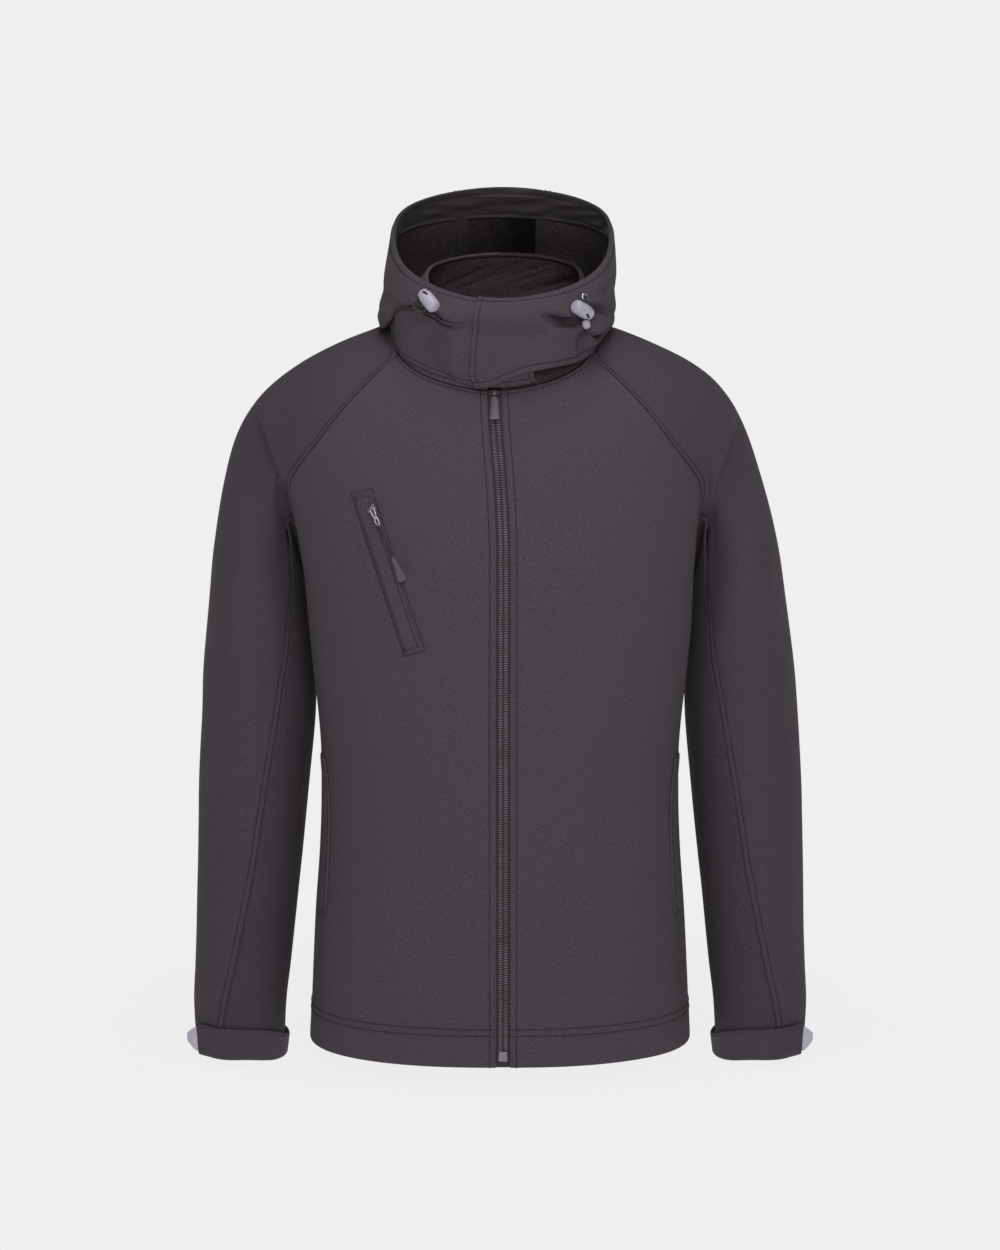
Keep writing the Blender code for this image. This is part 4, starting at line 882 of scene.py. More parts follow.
def refine(points, each, near_rows=((), ()), near_columns=((), ())):
    along = np.linalg.norm(np.diff(points, axis=0), axis=2).mean(1)
    across = np.linalg.norm(np.diff(points, axis=1), axis=2).mean(0)
    rows = weights(points.shape[0], fine_places(along, each[0], near_rows))
    columns = weights(points.shape[1], fine_places(across, each[1], near_columns))
    return np.einsum("ri,ijk,cj->rck", rows, points, columns)


def facings(points, outward):
    along = np.gradient(points, axis=0)
    across = np.gradient(points, axis=1)
    facing = np.cross(along, across)
    return outward * facing / np.linalg.norm(facing, axis=-1, keepdims=True)


def reaches(points, axis):
    """Distances along the cloth from the first and from the last line of points."""
    steps = np.linalg.norm(np.diff(points, axis=axis), axis=2)
    zero = np.zeros_like(np.take(steps, [0], axis))
    first = np.concatenate([zero, np.cumsum(steps, axis=axis)], axis=axis)
    return first, np.take(first, [-1], axis) - first


def cloth_of(outer, inner, facing, form=None):
    """Cloth between two faces, and how far each point of its form lies from the four edges."""
    form = outer if form is None else form
    return Cloth(outer, inner, facing, *reaches(form, 1), *reaches(form, 0))


def seated(points, facing, seat, thickness):
    """Cloth of this thickness that lies this far off a form."""
    return cloth_of(points + facing * (seat + thickness), points + facing * seat, facing, points)


def drawn_in(points, edges):
    """The points with these edges drawn back by half the gap between sewn panels."""
    moved = points.copy()
    for edge in edges:
        here, inside = {
            "top": (np.s_[-1], np.s_[-2]), "bottom": (np.s_[0], np.s_[1]),
            "start": (np.s_[:, 0], np.s_[:, 1]), "end": (np.s_[:, -1], np.s_[:, -2]),
        }[edge]
        way = points[inside] - points[here]
        moved[here] += 0.5 * PANEL_GAP * way / np.linalg.norm(way, axis=-1, keepdims=True)
    return moved


def lay_cloth(points, outward, thickness, moves, seams=()):
    """The cloth's two faces: its form moved in or out by seams, creases and unevenness."""
    points = drawn_in(points, seams)
    facing = facings(points, outward)
    flat = cloth_of(points, points, facing)
    moved = sum((move(flat) for move in moves), np.zeros(points.shape[:2]))
    under = np.minimum(0.8 * np.minimum(moved, 0.5), moved + 0.5) - thickness
    return flat._replace(outer=points + facing * moved[..., None], inner=points + facing * under[..., None])


def sewn(edge, rows, groove=1.0, dip=0.35):
    """A seam along one edge: the edge turns under, the cloth dips at each row of stitches."""
    def move(cloth):
        away = getattr(cloth, edge)
        along = cloth.bottom if edge in ("start", "end") else cloth.start
        depth = -1.5 * groove * swell(away, 0, 1.0)
        pull = 1 + 0.35 * np.sin(along * TAU / 23.0) + 0.25 * np.sin(along * TAU / 57.0 + 1.3)
        for row in rows:
            depth = depth - dip * pull * swell(away, row, 0.85)
        if len(rows) > 1:
            middle, half = 0.5 * (rows[0] + rows[1]), 0.35 * (rows[1] - rows[0])
            depth = depth + 0.2 * pull * swell(away, middle, half)
        return depth
    return move


def smooth_path(path, each):
    """A smooth curve through the points, with this many steps between two of them."""
    last = len(path) - 1
    return weights(len(path), np.linspace(0, last, each * last + 1)) @ np.array(path, float)


def creased(creases, way):
    """Soft troughs with low ridges beside them, on the cloth that faces this way."""
    def move(cloth):
        flat = cloth.outer[..., [0, 2]]
        total = np.zeros(flat.shape[:2])
        for width, depth, path in creases:
            points = smooth_path(path, 6)
            gap = np.full(total.shape, 1e9)
            place = np.zeros(total.shape)
            for k in range(len(points) - 1):
                run = points[k + 1] - points[k]
                share = np.clip(((flat - points[k]) @ run) / np.dot(run, run), 0, 1)
                away = np.linalg.norm(flat - points[k] - share[..., None] * run, axis=-1)
                nearer = away < gap
                gap = np.where(nearer, away, gap)
                place = np.where(nearer, (k + share) / (len(points) - 1), place)
            fade = np.sin(math.pi * np.clip(place, 0.02, 0.98)) ** 0.7
            total -= depth * fade * (swell(gap, 0, width) - 0.4 * swell(gap, 0, 2.3 * width))
        return total * np.clip(1.6 * way * -cloth.facing[..., 1], 0, 1)
    return move


def clouds(cloth, sizes, shift=0.0):
    """Slow noise over the cloth, in lumps of these sizes."""
    spots = cloth.outer.reshape(-1, 3) / np.array(sizes) + np.array([shift, 0, 0])
    return np.array([noise.noise(Vector(spot)) for spot in spots]).reshape(cloth.outer.shape[:2])


def uneven(size, depth, seed):
    """Slow hollows and rises, as cloth has that hangs free."""
    return lambda cloth: depth * clouds(cloth, (size, size, size / 0.6), seed)


def calm_edge(edge, reach, moves):
    """The given moves, fading out towards one edge."""
    return lambda cloth: sum(move(cloth) for move in moves) * smooth_steps(0, reach, getattr(cloth, edge))


def settle(piece, nodes=(), body="jacket"):
    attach(piece, body)
    if nodes:
        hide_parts(*nodes)
    return piece


def finished(name, mesh, sharp):
    """The mesh as a piece, smooth but for edges sharper than this many degrees."""
    mesh.update()
    mesh.shade_smooth()
    mesh.set_sharp_from_angle(angle=math.radians(sharp))
    return put(name, mesh)


def shell(name, cloth, materials, free=()):
    """A closed piece of cloth from its two faces, with a rounded edge where it is free."""
    outer, inner = cloth.outer, cloth.inner
    rows, columns = outer.shape[:2]
    count = rows * columns
    index = np.arange(count).reshape(rows, columns)
    cells = np.stack([index[:-1, :-1], index[:-1, 1:], index[1:, 1:], index[1:, :-1]], -1).reshape(-1, 4)
    rim = [(0, c) for c in range(columns - 1)] + [(r, columns - 1) for r in range(rows - 1)]
    rim += [(rows - 1 - r, columns - 1 - c) for r, c in rim]
    turned_edge = []
    for r, c in rim:
        away = outer[r, c] - outer[min(max(r, 1), rows - 2), min(max(c, 1), columns - 2)]
        away = away / max(np.linalg.norm(away), 1e-6)
        on = {"bottom": r == 0, "top": r == rows - 1, "start": c == 0, "end": c == columns - 1}
        bulge = SEWN_EDGE
        if any(on[edge] for edge in free):
            bulge = ROUND_EDGE * np.linalg.norm(outer[r, c] - inner[r, c])
        turned_edge.append(0.5 * (outer[r, c] + inner[r, c]) + away * bulge)
    around = np.array([index[spot] for spot in rim])
    after = np.roll(around, -1)
    middle = np.arange(len(rim)) + 2 * count
    middle_after = np.roll(middle, -1)
    faces = np.concatenate([
        cells, cells[:, ::-1] + count, np.stack([after, around, middle, middle_after], -1),
        np.stack([middle_after, middle, around + count, after + count], -1),
    ])
    lining = np.zeros(len(faces), np.int32)
    lining[len(cells):2 * len(cells)] = len(materials) - 1
    sample = cells[len(cells) // 2]
    a, b, _, d = outer.reshape(-1, 3)[sample]
    if np.dot(np.cross(b - a, d - a), cloth.facing.reshape(-1, 3)[sample[0]]) < 0:
        faces = faces[:, ::-1]
    vertices = np.concatenate([outer.reshape(-1, 3), inner.reshape(-1, 3), np.array(turned_edge)])
    spread = np.stack([cloth.start, cloth.bottom], -1).reshape(-1, 2) * MM
    spread = np.concatenate([spread, spread, spread[around]])
    mesh = bpy.data.meshes.new(name)
    mesh.from_pydata(metres(vertices).tolist(), [], faces.tolist())
    for material in materials:
        mesh.materials.append(material)
    mesh.polygons.foreach_set("material_index", lining)
    corners = np.zeros(len(mesh.loops), np.int32)
    mesh.loops.foreach_get("vertex_index", corners)
    mesh.uv_layers.new(name="cloth").data.foreach_set("uv", spread[corners].astype(np.float32).ravel())
    return finished(name, mesh, 70.0)


def cloth_piece(name, cloth, materials, free=()):
    piece = settle(shell(name + "_cloth", cloth, materials, free), (name,))
    return piece


# Body and sleeves
def front_cloth(side):
    coarse = grid_of(lambda h, a: torso(side, h, a), front_params(side))
    points = refine(coarse, (5, 5), (HEM_STEPS, EDGE_STEPS), (EDGE_STEPS, SEAM_STEPS))
    folds = [creased(FRONT_CREASES, 1), uneven(95.0, 1.2, 3.1 * side)]
    moves = [
        sewn("start", (ZIP_STITCH,), 0.6), sewn("end", ()), sewn("top", (NECK_STITCH,), 0.8), hem_fold,
        calm_edge("start", 30.0, [calm_near(folds)]),
    ]
    return coarse, lay_cloth(points, -side, WALL, moves, ("start", "end", "top"))


def hem_fold(cloth):
    """The turned-up hem: a second layer that ends at two rows of stitches."""
    away = cloth.bottom
    depth = 0.35 * (1 - np.clip((away - 36.0) / 8.0, 0, 1)) - 0.5 * swell(away, 0, 1.2)
    return depth - 0.3 * sum(swell(away, row, 1.2) for row in HEM_TWIN)


def back_cloth():
    shares = [c / BACK_HALF_COLUMNS for c in range(BACK_HALF_COLUMNS + 1)]
    rows = []
    for edge in edge_heights(RAGLAN_BACK_TOP):
        centre = edge * NECK_BACK_HEIGHT / RAGLAN_BACK_TOP
        reach = 180 - edge_angle(raglan_back, edge)
        row = []
        for side, part in ((-1, shares[:0:-1]), (1, shares)):
            row += [torso(side, centre + (edge - centre) * s ** NECK_ROUNDING, 180 - reach * s) for s in part]
        rows.append(row)
    coarse = np.array(rows)
    points = refine(coarse, (5, 4), (HEM_STEPS, EDGE_STEPS), (SEAM_STEPS, SEAM_STEPS))
    moves = [
        sewn("start", ()), sewn("end", ()), sewn("top", (NECK_STITCH,), 0.8), hem_fold,
        creased(BACK_CREASES, -1), uneven(95.0, 1.2, 8.0),
    ]
    return coarse, lay_cloth(points, 1, WALL, moves, ("start", "end", "top"))


def sleeve_turns():
    under_shares = [s for s in RAGLAN_SHARES if s <= UNDER_SHARE]
    upper_shares = [s for s in RAGLAN_SHARES if s >= UNDER_SHARE]
    step = (BACK_TURN - FRONT_TURN) / NECK_PIECE_COLUMNS
    upper = [FRONT_TURN * s for s in upper_shares]
    neck_from = len(upper) - 1
    upper += [FRONT_TURN + step * i for i in range(1, NECK_PIECE_COLUMNS)]
    upper += [1 - (1 - BACK_TURN) * s for s in reversed(upper_shares)]
    under = [-(1 - BACK_TURN) * s for s in reversed(under_shares)]
    under += [FRONT_TURN * s for s in under_shares[1:]]
    return np.array(upper), np.array(under), neck_from


def shoulder_break(cloth):
    """The sleeve drops back below the point of the shoulder."""
    flat = np.stack([-np.abs(cloth.outer[..., 0]), cloth.outer[..., 2]], -1)
    head, foot = np.array(BREAK, float)
    run = unit(foot - head)
    below = (flat - head) @ np.array([run[1], -run[0]])
    trough = smooth_steps(0, BREAK_RUN, below) * (1 - smooth_steps(BREAK_RUN, BREAK_RUN + BREAK_BACK, below))
    lip = BREAK_LIP * swell(below, -6.0, 7.0)
    return (lip - BREAK_DEPTH * trough) * np.clip(1.6 * np.abs(cloth.facing[..., 1]), 0, 1)


def sleeve_cloth(side, base, piece):
    rows = []
    for r in range(SLEEVE_END + 1):
        front, back = under_sleeve(r)
        start, stop = (front, 1 - back) if piece == "upper" else (-back, front)
        share = (base - base[0]) / (base[-1] - base[0])
        turns = base if r == 0 else start + share * (stop - start)
        rows.append([sleeve(side, r, t) for t in turns])
    coarse = np.array(rows)
    twin = TWIN if piece == "upper" else ()
    points = refine(coarse, (6, 4), (SEAM_STEPS, EDGE_STEPS), (SEAM_STEPS, SEAM_STEPS))
    folds = [creased(SLEEVE_CREASES, way) for way in (1, -1)] + [uneven(70.0, 1.3, 5.0 + 2.0 * side)]
    moves = [
        sewn("bottom", twin), sewn("start", twin, 0.6), sewn("end", twin, 0.6),
        calm_edge("bottom", 40.0, folds), calm_edge("bottom", 14.0, [shoulder_break]),
    ]
    return coarse, lay_cloth(points, side, WALL, moves, ("start", "end", "bottom"))


# Collar and hood
def collar_cloth(neck):
    rows = []
    for share in np.linspace(0, 1, COLLAR_ROWS + 1):
        row = []
        for base in neck:
            top = collar_top(math.degrees(math.atan2(base[0], -base[1])))
            away = unit(np.array([base[0], base[1], 0.0]))
            seat = base + np.array([0, 0, COLLAR_SEAT])
            row.append((1 - share) * seat + share * top + away * COLLAR_BULGE * math.sin(math.pi * share))
        rows.append(row)
    points = refine(np.array(rows), (7, 3), ((), COLLAR_STEPS))
    away = np.sum(facings(points, 1) * points * np.array([1, 1, 0]))
    moves = [sewn("top", (COLLAR_STITCH,), 0.5), sewn("bottom", (), 0.4)]
    cloth = lay_cloth(points, 1 if away > 0 else -1, COLLAR_WALL, moves)
    slant = cloth.start * 0.8 - cloth.bottom * 1.1
    calm = np.clip(cloth.top / 14.0, 0, 1) * np.clip(cloth.bottom / 10.0, 0, 1)
    fold = 0.5 * np.sin(slant * TAU / 67.0 + 1.1 * np.sin(cloth.start / 31.0) + cloth.top / 19.0)
    for place, width, depth, under in COLLAR_FOLDS:
        fold = fold - depth * swell(slant, place, width) * swell(cloth.top, under, 10.0)
    ripple = 1.2 * fold * calm - 1.8 * swell(cloth.top, COLLAR_STITCH, 1.0) + 1.5 * swell(cloth.top, 1.6, 1.6)
    return cloth._replace(inner=cloth.inner - cloth.facing * ripple[..., None])


def rolled(points, neck):
    """The hood's roll overhangs its foot, which is turned in below a fold."""
    x, y, height = np.moveaxis(points, -1, 0)
    places, heights, depths = np.array(FOLD_STEPS, float).T
    turn = np.degrees(np.arctan2(x, -y))
    depth = np.interp(x, places, depths, right=0.0) * (y < 20) * smooth_steps(*FOLD_SIDE, turn)
    seat = [np.linalg.norm(neck_at(neck, one, FOOT_STANDS, 0)[:2]) for one in turn.ravel()]
    depth = np.minimum(depth, np.clip(np.hypot(x, y) - np.reshape(seat, turn.shape), 0, None))
    above = height - np.interp(x, places, heights)
    foot = reaches(points, 0)[0]
    share = 1 / (1 + np.exp(np.clip(above / 0.7, -30, 30))) * np.clip(foot / 1.6, 0, 1)
    away = points * np.array([1.0, 1.0, 0.0])
    away /= np.linalg.norm(away, axis=-1, keepdims=True)
    moved = points - away * (depth * share)[..., None]
    lip = -FOLD_LIP * swell(above, 1.0, 2.5) * (above > -1.0)
    under = FOLD_TURN * swell(above, -3.0, 2.0) * (above < 0)
    moved[..., 2] += (lip + under) * np.clip(depth / 8.0, 0, 1)
    low, full, until, high = FOOT_ENDS
    climb = smooth_steps(low, full, turn) * (1 - smooth_steps(until, high, turn))
    moved[..., 2] += FOOT_RISE * climb * np.clip(1 - foot / FOOT_FADE, 0, 1) ** 2
    return moved


def hood_cloth(neck, angles_at, seams, outward, over=False):
    params, lift = [], []
    for r in range(len(HOOD) + 1):
        trim = max(0.0, 1 - r / FLAP_HEM_FADE)
        params.append([(r + trim * hem_rise(a) * over, a) for a in angles_at(r)])
        lift.append([flap_lift(a) * over for a in angles_at(r)])
    out = grid_of(lambda r, a: hood_normal(neck, r, a), params)
    coarse = grid_of(lambda r, a: hood(neck, r, a), params) + out * np.array(lift)[..., None]
    fine = refine(coarse, (12, 9), (EDGE_STEPS, EDGE_STEPS), (SEAM_STEPS, SEAM_STEPS))
    if seams == ("end",) and not over:
        fine = rolled(fine, neck)
    moves = [sewn("top", (RIM_STITCH,), 0.4), sewn("bottom", (FOOT_STITCH,), 0.4)]
    moves += [sewn(edge, TWIN if len(seams) == 1 else ()) for edge in seams]
    folds = [creased(HOOD_BACK_CREASES, -1), uneven(34.0, 2.4, 2.0)]
    if over:
        moves.append(lambda cloth: 1.6 * swell(cloth.bottom, 0, 6.0) + 0.3 * swell(cloth.start, 0, 5.0))
    if "start" not in seams:
        folds.append(creased(HOOD_CREASES, 1))
        moves.append(sewn("start", (FLAP_STITCH,), 0.2, 0.25))
    moves.append(calm_edge("top", 9.0, [calm_edge("bottom", 9.0, folds)]))
    return coarse, out, lay_cloth(fine, outward, WALL, moves, seams)


def seam_tape(name, side, centre, edge, finish):
    """A tape sewn over a seam inside the hood."""
    sides = []
    for cloth, line_edge in ((side, "end"), (centre, edge)):
        line = cloth_line(cloth, line_edge, TAPE_HALF, 0.02, 0.9, True)
        pick = np.arange(len(line[0]))
        places = np.linspace(0, pick[-1], 90)
        sides.append([np.array([np.interp(places, pick, grid[:, i]) for i in range(3)]).T for grid in line])
    (first, out), (last, last_out) = sides
    share = np.linspace(0, 1, 7)[None, :, None]
    points = first[:, None] * (1 - share) + last[:, None] * share
    facing = out[:, None] * (1 - share) + last_out[:, None] * share
    facing /= np.linalg.norm(facing, axis=-1, keepdims=True)
    tape = seated(points, facing, TAPE_SEAT, TAPE_WALL)
    settle(shell(name, tape, [finish]))
    return tape


# Thread and teeth, along lines on the cloth
def cloth_line(cloth, edge, away, low=0.0, high=1.0, inside=False):
    """A line on the cloth at this distance from one edge, with the way out of the cloth."""
    grid = cloth.inner if inside else cloth.outer
    gaps = getattr(cloth, edge)
    facing = -cloth.facing if inside else cloth.facing
    if edge in ("bottom", "top"):
        grid, facing, gaps = grid.transpose(1, 0, 2), facing.transpose(1, 0, 2), gaps.T
    if edge in ("end", "top"):
        grid, facing, gaps = grid[:, ::-1], facing[:, ::-1], gaps[:, ::-1]
    points, out = [], []
    cells = np.arange(grid.shape[1])
    first, last = int(low * (len(grid) - 1)), int(high * (len(grid) - 1))
    for row in range(first, last + 1):
        place = np.interp(away, gaps[row], cells)
        k = min(int(place), len(cells) - 2)
        t = place - k
        points.append((1 - t) * grid[row, k] + t * grid[row, k + 1])
        out.append(facing[row, k])
    return np.array(points), np.array(out)


def line_mesh(name, lines):
    vertices, edges, out = [], [], []
    for points, facing in lines:
        base = len(vertices)
        vertices += metres(points).tolist()
        out += facing.tolist()
        edges += [(base + i, base + i + 1) for i in range(len(points) - 1)]
    mesh = bpy.data.meshes.new(name)
    mesh.from_pydata(vertices, edges, [])
    layer = mesh.attributes.new("out", "FLOAT_VECTOR", "POINT")
    layer.data.foreach_set("vector", np.array(out, np.float32).ravel())
    return mesh


def facing_cloth(left, centre, right):
    """The band inside the rim of the face opening."""
    skip = len(FLAP_NODES) + FACING_SKIPS
    points, out = (
        np.concatenate([left[k][:, skip:-1], centre[k], right[k][:, -2:skip - 1:-1]], axis=1) for k in (0, 1)
    )
    band, way = [], []
    for row in np.linspace(FACING_LOW_ROW, HOOD_BRIM, FACING_ROWS + 1):
        k = min(int(row), len(HOOD) - 1)
        share = row - k
        band.append((1 - share) * points[k] + share * points[k + 1])
        way.append((1 - share) * out[k] + share * out[k + 1])
    band, way = np.array(band), np.array(way)
    across = 4
    base = refine(band - way * (WALL + FACING_GAP), (10, across), (EDGE_STEPS, EDGE_STEPS))
    sign = 1 if np.sum(facings(base, 1)[0, ::across] * way[0]) > 0 else -1
    cloth = lay_cloth(base, sign, FACING_WALL, [])
    calm = np.clip(cloth.top / 8.0, 0, 1) * np.clip(cloth.bottom / 6.0, 0, 1)
    ripple = 3.2 * np.clip(clouds(cloth, (34, 34, 7)) + 0.3, 0, 1) * calm
    ripple = ripple - 0.6 * swell(cloth.top, FACING_STITCH, 1.0)
    ripple = ripple + 1.1 * swell(cloth.bottom, 1.8, 1.5) - 0.9 * swell(cloth.bottom, 4.6, 0.9)
    return cloth._replace(inner=cloth.inner - cloth.facing * ripple[..., None])


def repeat_tree(name, shape):
    """One small shape repeated along every line, lying along it and facing out of the cloth."""
    tree = bpy.data.node_groups.new(name, "GeometryNodeTree")
    for label, kind in (("Lines", "NodeSocketGeometry"), ("Pitch", "NodeSocketFloat"),
                        ("Size", "NodeSocketVector"), ("Finish", "NodeSocketMaterial")):
        tree.interface.new_socket(label, in_out="INPUT", socket_type=kind)
    tree.interface.new_socket("Pieces", in_out="OUTPUT", socket_type="NodeSocketGeometry")
    source = tree.nodes.new("NodeGroupInput").outputs
    curve_of = add(tree, "GeometryNodeMeshToCurve", links=[(0, source["Lines"])])
    spaced = add(tree, "GeometryNodeResampleCurve", mode="LENGTH",
                 links=[("Curve", curve_of.outputs[0]), ("Length", source["Pitch"])])
    tangent = add(tree, "GeometryNodeInputTangent")
    out = add(tree, "GeometryNodeInputNamedAttribute", [("Name", "out")], data_type="FLOAT_VECTOR")
    along = add(tree, "FunctionNodeAlignRotationToVector", links=[("Vector", tangent.outputs[0])], axis="Z")
    facing = add(tree, "FunctionNodeAlignRotationToVector", axis="X", pivot_axis="Z",
                 links=[("Rotation", along.outputs[0]), ("Vector", out.outputs[0])])
    if shape == "stitch":
        one = add(tree, "GeometryNodeMeshIcoSphere", [("Radius", 0.5), ("Subdivisions", 1)])
    else:
        block = add(tree, "GeometryNodeMeshCube", [("Size", (1.15, 1.15, 1.15))])
        one = add(tree, "GeometryNodeSubdivisionSurface", [("Level", 1)], [("Mesh", block.outputs[0])])
    placed_on = add(tree, "GeometryNodeInstanceOnPoints", links=[
        ("Points", spaced.outputs[0]), ("Instance", one.outputs[0]), ("Rotation", facing.outputs[0]),
        ("Scale", source["Size"]),
    ])
    real = add(tree, "GeometryNodeRealizeInstances", links=[(0, placed_on.outputs[0])])
    smooth = add(tree, "GeometryNodeSetShadeSmooth", links=[(0, real.outputs[0])])
    finish = add(tree, "GeometryNodeSetMaterial",
                 links=[("Geometry", smooth.outputs[0]), ("Material", source["Finish"])])
    tree.links.new(finish.outputs[0], tree.nodes.new("NodeGroupOutput").inputs[0])
    return tree


def repeated(name, lines, tree, pitch, size, finish):
    guide = put(name + "_guide", line_mesh(name + "_guide", lines))
    modifier = guide.modifiers.new("repeat", "NODES")
    modifier.node_group = tree
    values = {"Pitch": pitch * MM, "Size": tuple(s * MM for s in size), "Finish": finish}
    for item in tree.interface.items_tree:
        if item.in_out == "INPUT" and item.name in values:
            modifier[item.identifier] = values[item.name]
    view = bpy.context.evaluated_depsgraph_get()
    mesh = bpy.data.meshes.new_from_object(guide.evaluated_get(view), depsgraph=view)
    bpy.data.objects.remove(guide, do_unlink=True)
    mesh.name = name
    return put(name, mesh)


# Trims laid on the front
def pocket_line():
    """The chest pocket's mid line: its head, its run, and the way across it."""
    head, foot = np.array(CHEST_TOP), np.array(CHEST_BOTTOM)
    run = foot - head
    return head, run, np.array([-run[1], run[0]]) / np.linalg.norm(run)


def strip_cloth(shift, half, ends, thickness, rows, columns, taper=0.0):
    """A strip beside the chest pocket's mid line, between two shares of its length."""
    head, run, side_way = pocket_line()
    points, facing = [], []
    for share in np.linspace(0, 1, rows + 1):
        line = head + run * (ends[0] + (ends[1] - ends[0]) * share)
        places = shift + half * (1 - taper * share) * np.linspace(-1, 1, columns + 1)
        spots = [front_point(*(line + side_way * place)) for place in places]
        points.append([spot[0] for spot in spots])
        facing.append([spot[1] for spot in spots])
    return seated(np.array(points), np.array(facing), TRIM_SEAT, thickness)


def frame_line(front, corners):
    """A stitched line on the front, through places at a shift off and a share along the pocket's mid line."""
    head, run, side_way = pocket_line()
    flat = front.outer[..., [0, 2]].reshape(-1, 2)
    points, out = [], []
    for (shift, share), (next_shift, next_share) in zip(corners, corners[1:]):
        steps = max(2, int((abs(next_share - share) * np.linalg.norm(run) + abs(next_shift - shift)) / 1.5))
        for t in np.linspace(0, 1, steps):
            along, across = share + t * (next_share - share), shift + t * (next_shift - shift)
            spot = head + run * along + side_way * across
            gaps = np.sum((flat - spot) ** 2, axis=1)
            near = np.argpartition(gaps, 6)[:6]
            weight = 1 / (gaps[near] + 0.2)
            point = weight @ front.outer.reshape(-1, 3)[near] / weight.sum()
            points.append([spot[0], point[1], spot[1]])
            out.append(front.facing.reshape(-1, 3)[near[0]])
    return np.array(points), np.array(out)


def calm_near(moves):
    """The given moves, left out where the chest pocket lies."""
    head, run, _ = pocket_line()

    def move(cloth):
        flat = cloth.outer[..., [0, 2]] - head
        share = np.clip(flat @ run / np.dot(run, run), 0, 1)
        away = np.linalg.norm(flat - share[..., None] * run, axis=-1)
        return sum(one(cloth) for one in moves) * np.clip((away - 14.0) / 26.0, 0, 1)
    return move


def dipped(cloth, moves):
    moved = sum(move(cloth) for move in moves)
    return cloth._replace(outer=cloth.outer + cloth.facing * moved[..., None])


def pocket_cloth(side):
    points, facing = [], []
    for share in np.linspace(0, 1, 41):
        height = POCKET_BOTTOM + (POCKET_TOP - POCKET_BOTTOM) * share
        first = POCKET_ANGLE + POCKET_CURVE * share ** POCKET_BEND_ONSET
        angles = np.linspace(first, first + POCKET_SPAN, 11)
        points.append([torso(side, height, a) for a in angles])
        facing.append([torso_normal(side, height, a) for a in angles])
    cloth = seated(np.array(points), np.array(facing), POCKET_SEAT, TRIM_WALL)
    return dipped(cloth, [sewn(edge, (), 0.9) for edge in ("start", "end", "bottom", "top")])


def zip_tape_cloth():
    heights = np.linspace(front_heights()[0], front_heights()[-1], 120)
    profile = [(-across, out) for across, out in ZIP_PROFILE[:0:-1]] + ZIP_PROFILE
    outer, inner, facing = [], [], []
    for height in heights:
        spots = [front_point(zip_line(height)[0] + across, height) for across, _ in profile]
        outer.append([p + f * out for (p, f), (_, out) in zip(spots, profile)])
        inner.append([p - f * (ZIP_RECESS + ZIP_WALL) for p, f in spots])
        facing.append([f for _, f in spots])
    return cloth_of(np.array(outer), np.array(inner), np.array(facing))


def zip_row(shift, low, high, rise):
    spots = [front_point(zip_line(h)[0] + shift, h) for h in np.linspace(low, high, 90)]
    return np.array([p + f * rise for p, f in spots]), np.array([f for _, f in spots])


# Cuffs
def strap_cloth(side):
    turns = np.linspace(STRAP_START, STRAP_LEAVES, 46)
    outer, inner = [], []
    for height in np.linspace(STRAP_BOTTOM, STRAP_TOP, 13):
        share = (height - STRAP_BOTTOM) / (STRAP_TOP - STRAP_BOTTOM)
        base = STRAP_SEAT + STRAP_STANDS_OFF * share
        rise = (3.0 - share) * swell(turns, 0.21, 0.08)
        rise = rise - 11.0 * share * swell(np.maximum(turns, 0.0), 0, 0.09)
        lines = [[cuff_point(side, height, t, out) for t in turns] for out in (base, base + STRAP_WALL)]
        lines = np.array(lines)
        lines[..., 2] += rise
        way = unit((lines[0, -1] - lines[0, -2]) * np.array([1, 1, 0]))
        run_on = way * STRAP_RUN_ON * np.linspace(0.2, 1, 5)[:, None]
        for rows, line in zip((inner, outer), lines):
            rows.append(np.concatenate([line, line[-1] + run_on]))
    outer, inner = np.array(outer), np.array(inner)
    facing = outer - inner
    facing /= np.linalg.norm(facing, axis=-1, keepdims=True)
    return dipped(cloth_of(outer, inner, facing), [sewn("bottom", (), 0.7), sewn("top", (), 0.7)])


# Hard pieces on a frame of three directions: across, out of the cloth, and along
def skin(rings, closed=False):
    """The points and faces over rings of points, with flat ends unless the last ring joins the first."""
    count, sides = len(rings), len(rings[0])
    points = [point for one in rings for point in one]
    faces = []
    for k in range(count if closed else count - 1):
        n = (k + 1) % count
        for i in range(sides):
            j = (i + 1) % sides
            faces.append((k * sides + i, k * sides + j, n * sides + j, n * sides + i))
    if not closed:
        faces += [tuple(range(sides - 1, -1, -1)), tuple(range(len(points) - sides, len(points)))]
    return points, faces


def circle(radius, sides):
    turns = [TAU * i / sides for i in range(sides)]
    return [(radius * math.cos(turn), radius * math.sin(turn)) for turn in turns]


def barrel(steps, sides):
    return skin([[(along, out, up) for out, up in circle(radius, sides)] for along, radius in steps])


def wire(path, radius, sides=10, closed=True):
    """A round wire along a path of points in the frame."""
    path = np.array(path, float)
    count = len(path)
    rings, side_way = [], np.array([0, 1.0, 0])
    for i in range(count):
        ahead = path[(i + 1) % count] if closed or i < count - 1 else path[i]
        behind = path[i - 1] if closed or i > 0 else path[i]
        run = unit(ahead - behind)
        if abs(np.dot(side_way, run)) > 0.95:
            side_way = np.array([1.0, 0, 0])
        side_way = unit(side_way - run * np.dot(side_way, run))
        up = np.cross(run, side_way)
        rings.append([path[i] + side_way * a + up * b for a, b in circle(radius, sides)])
    return skin(rings, closed)


def plate(outline, low, high):
    """A flat plate: an outline across and along, between two heights out of the cloth."""
    return skin([[(x, out, z) for x, z in outline] for out in (low, high)])


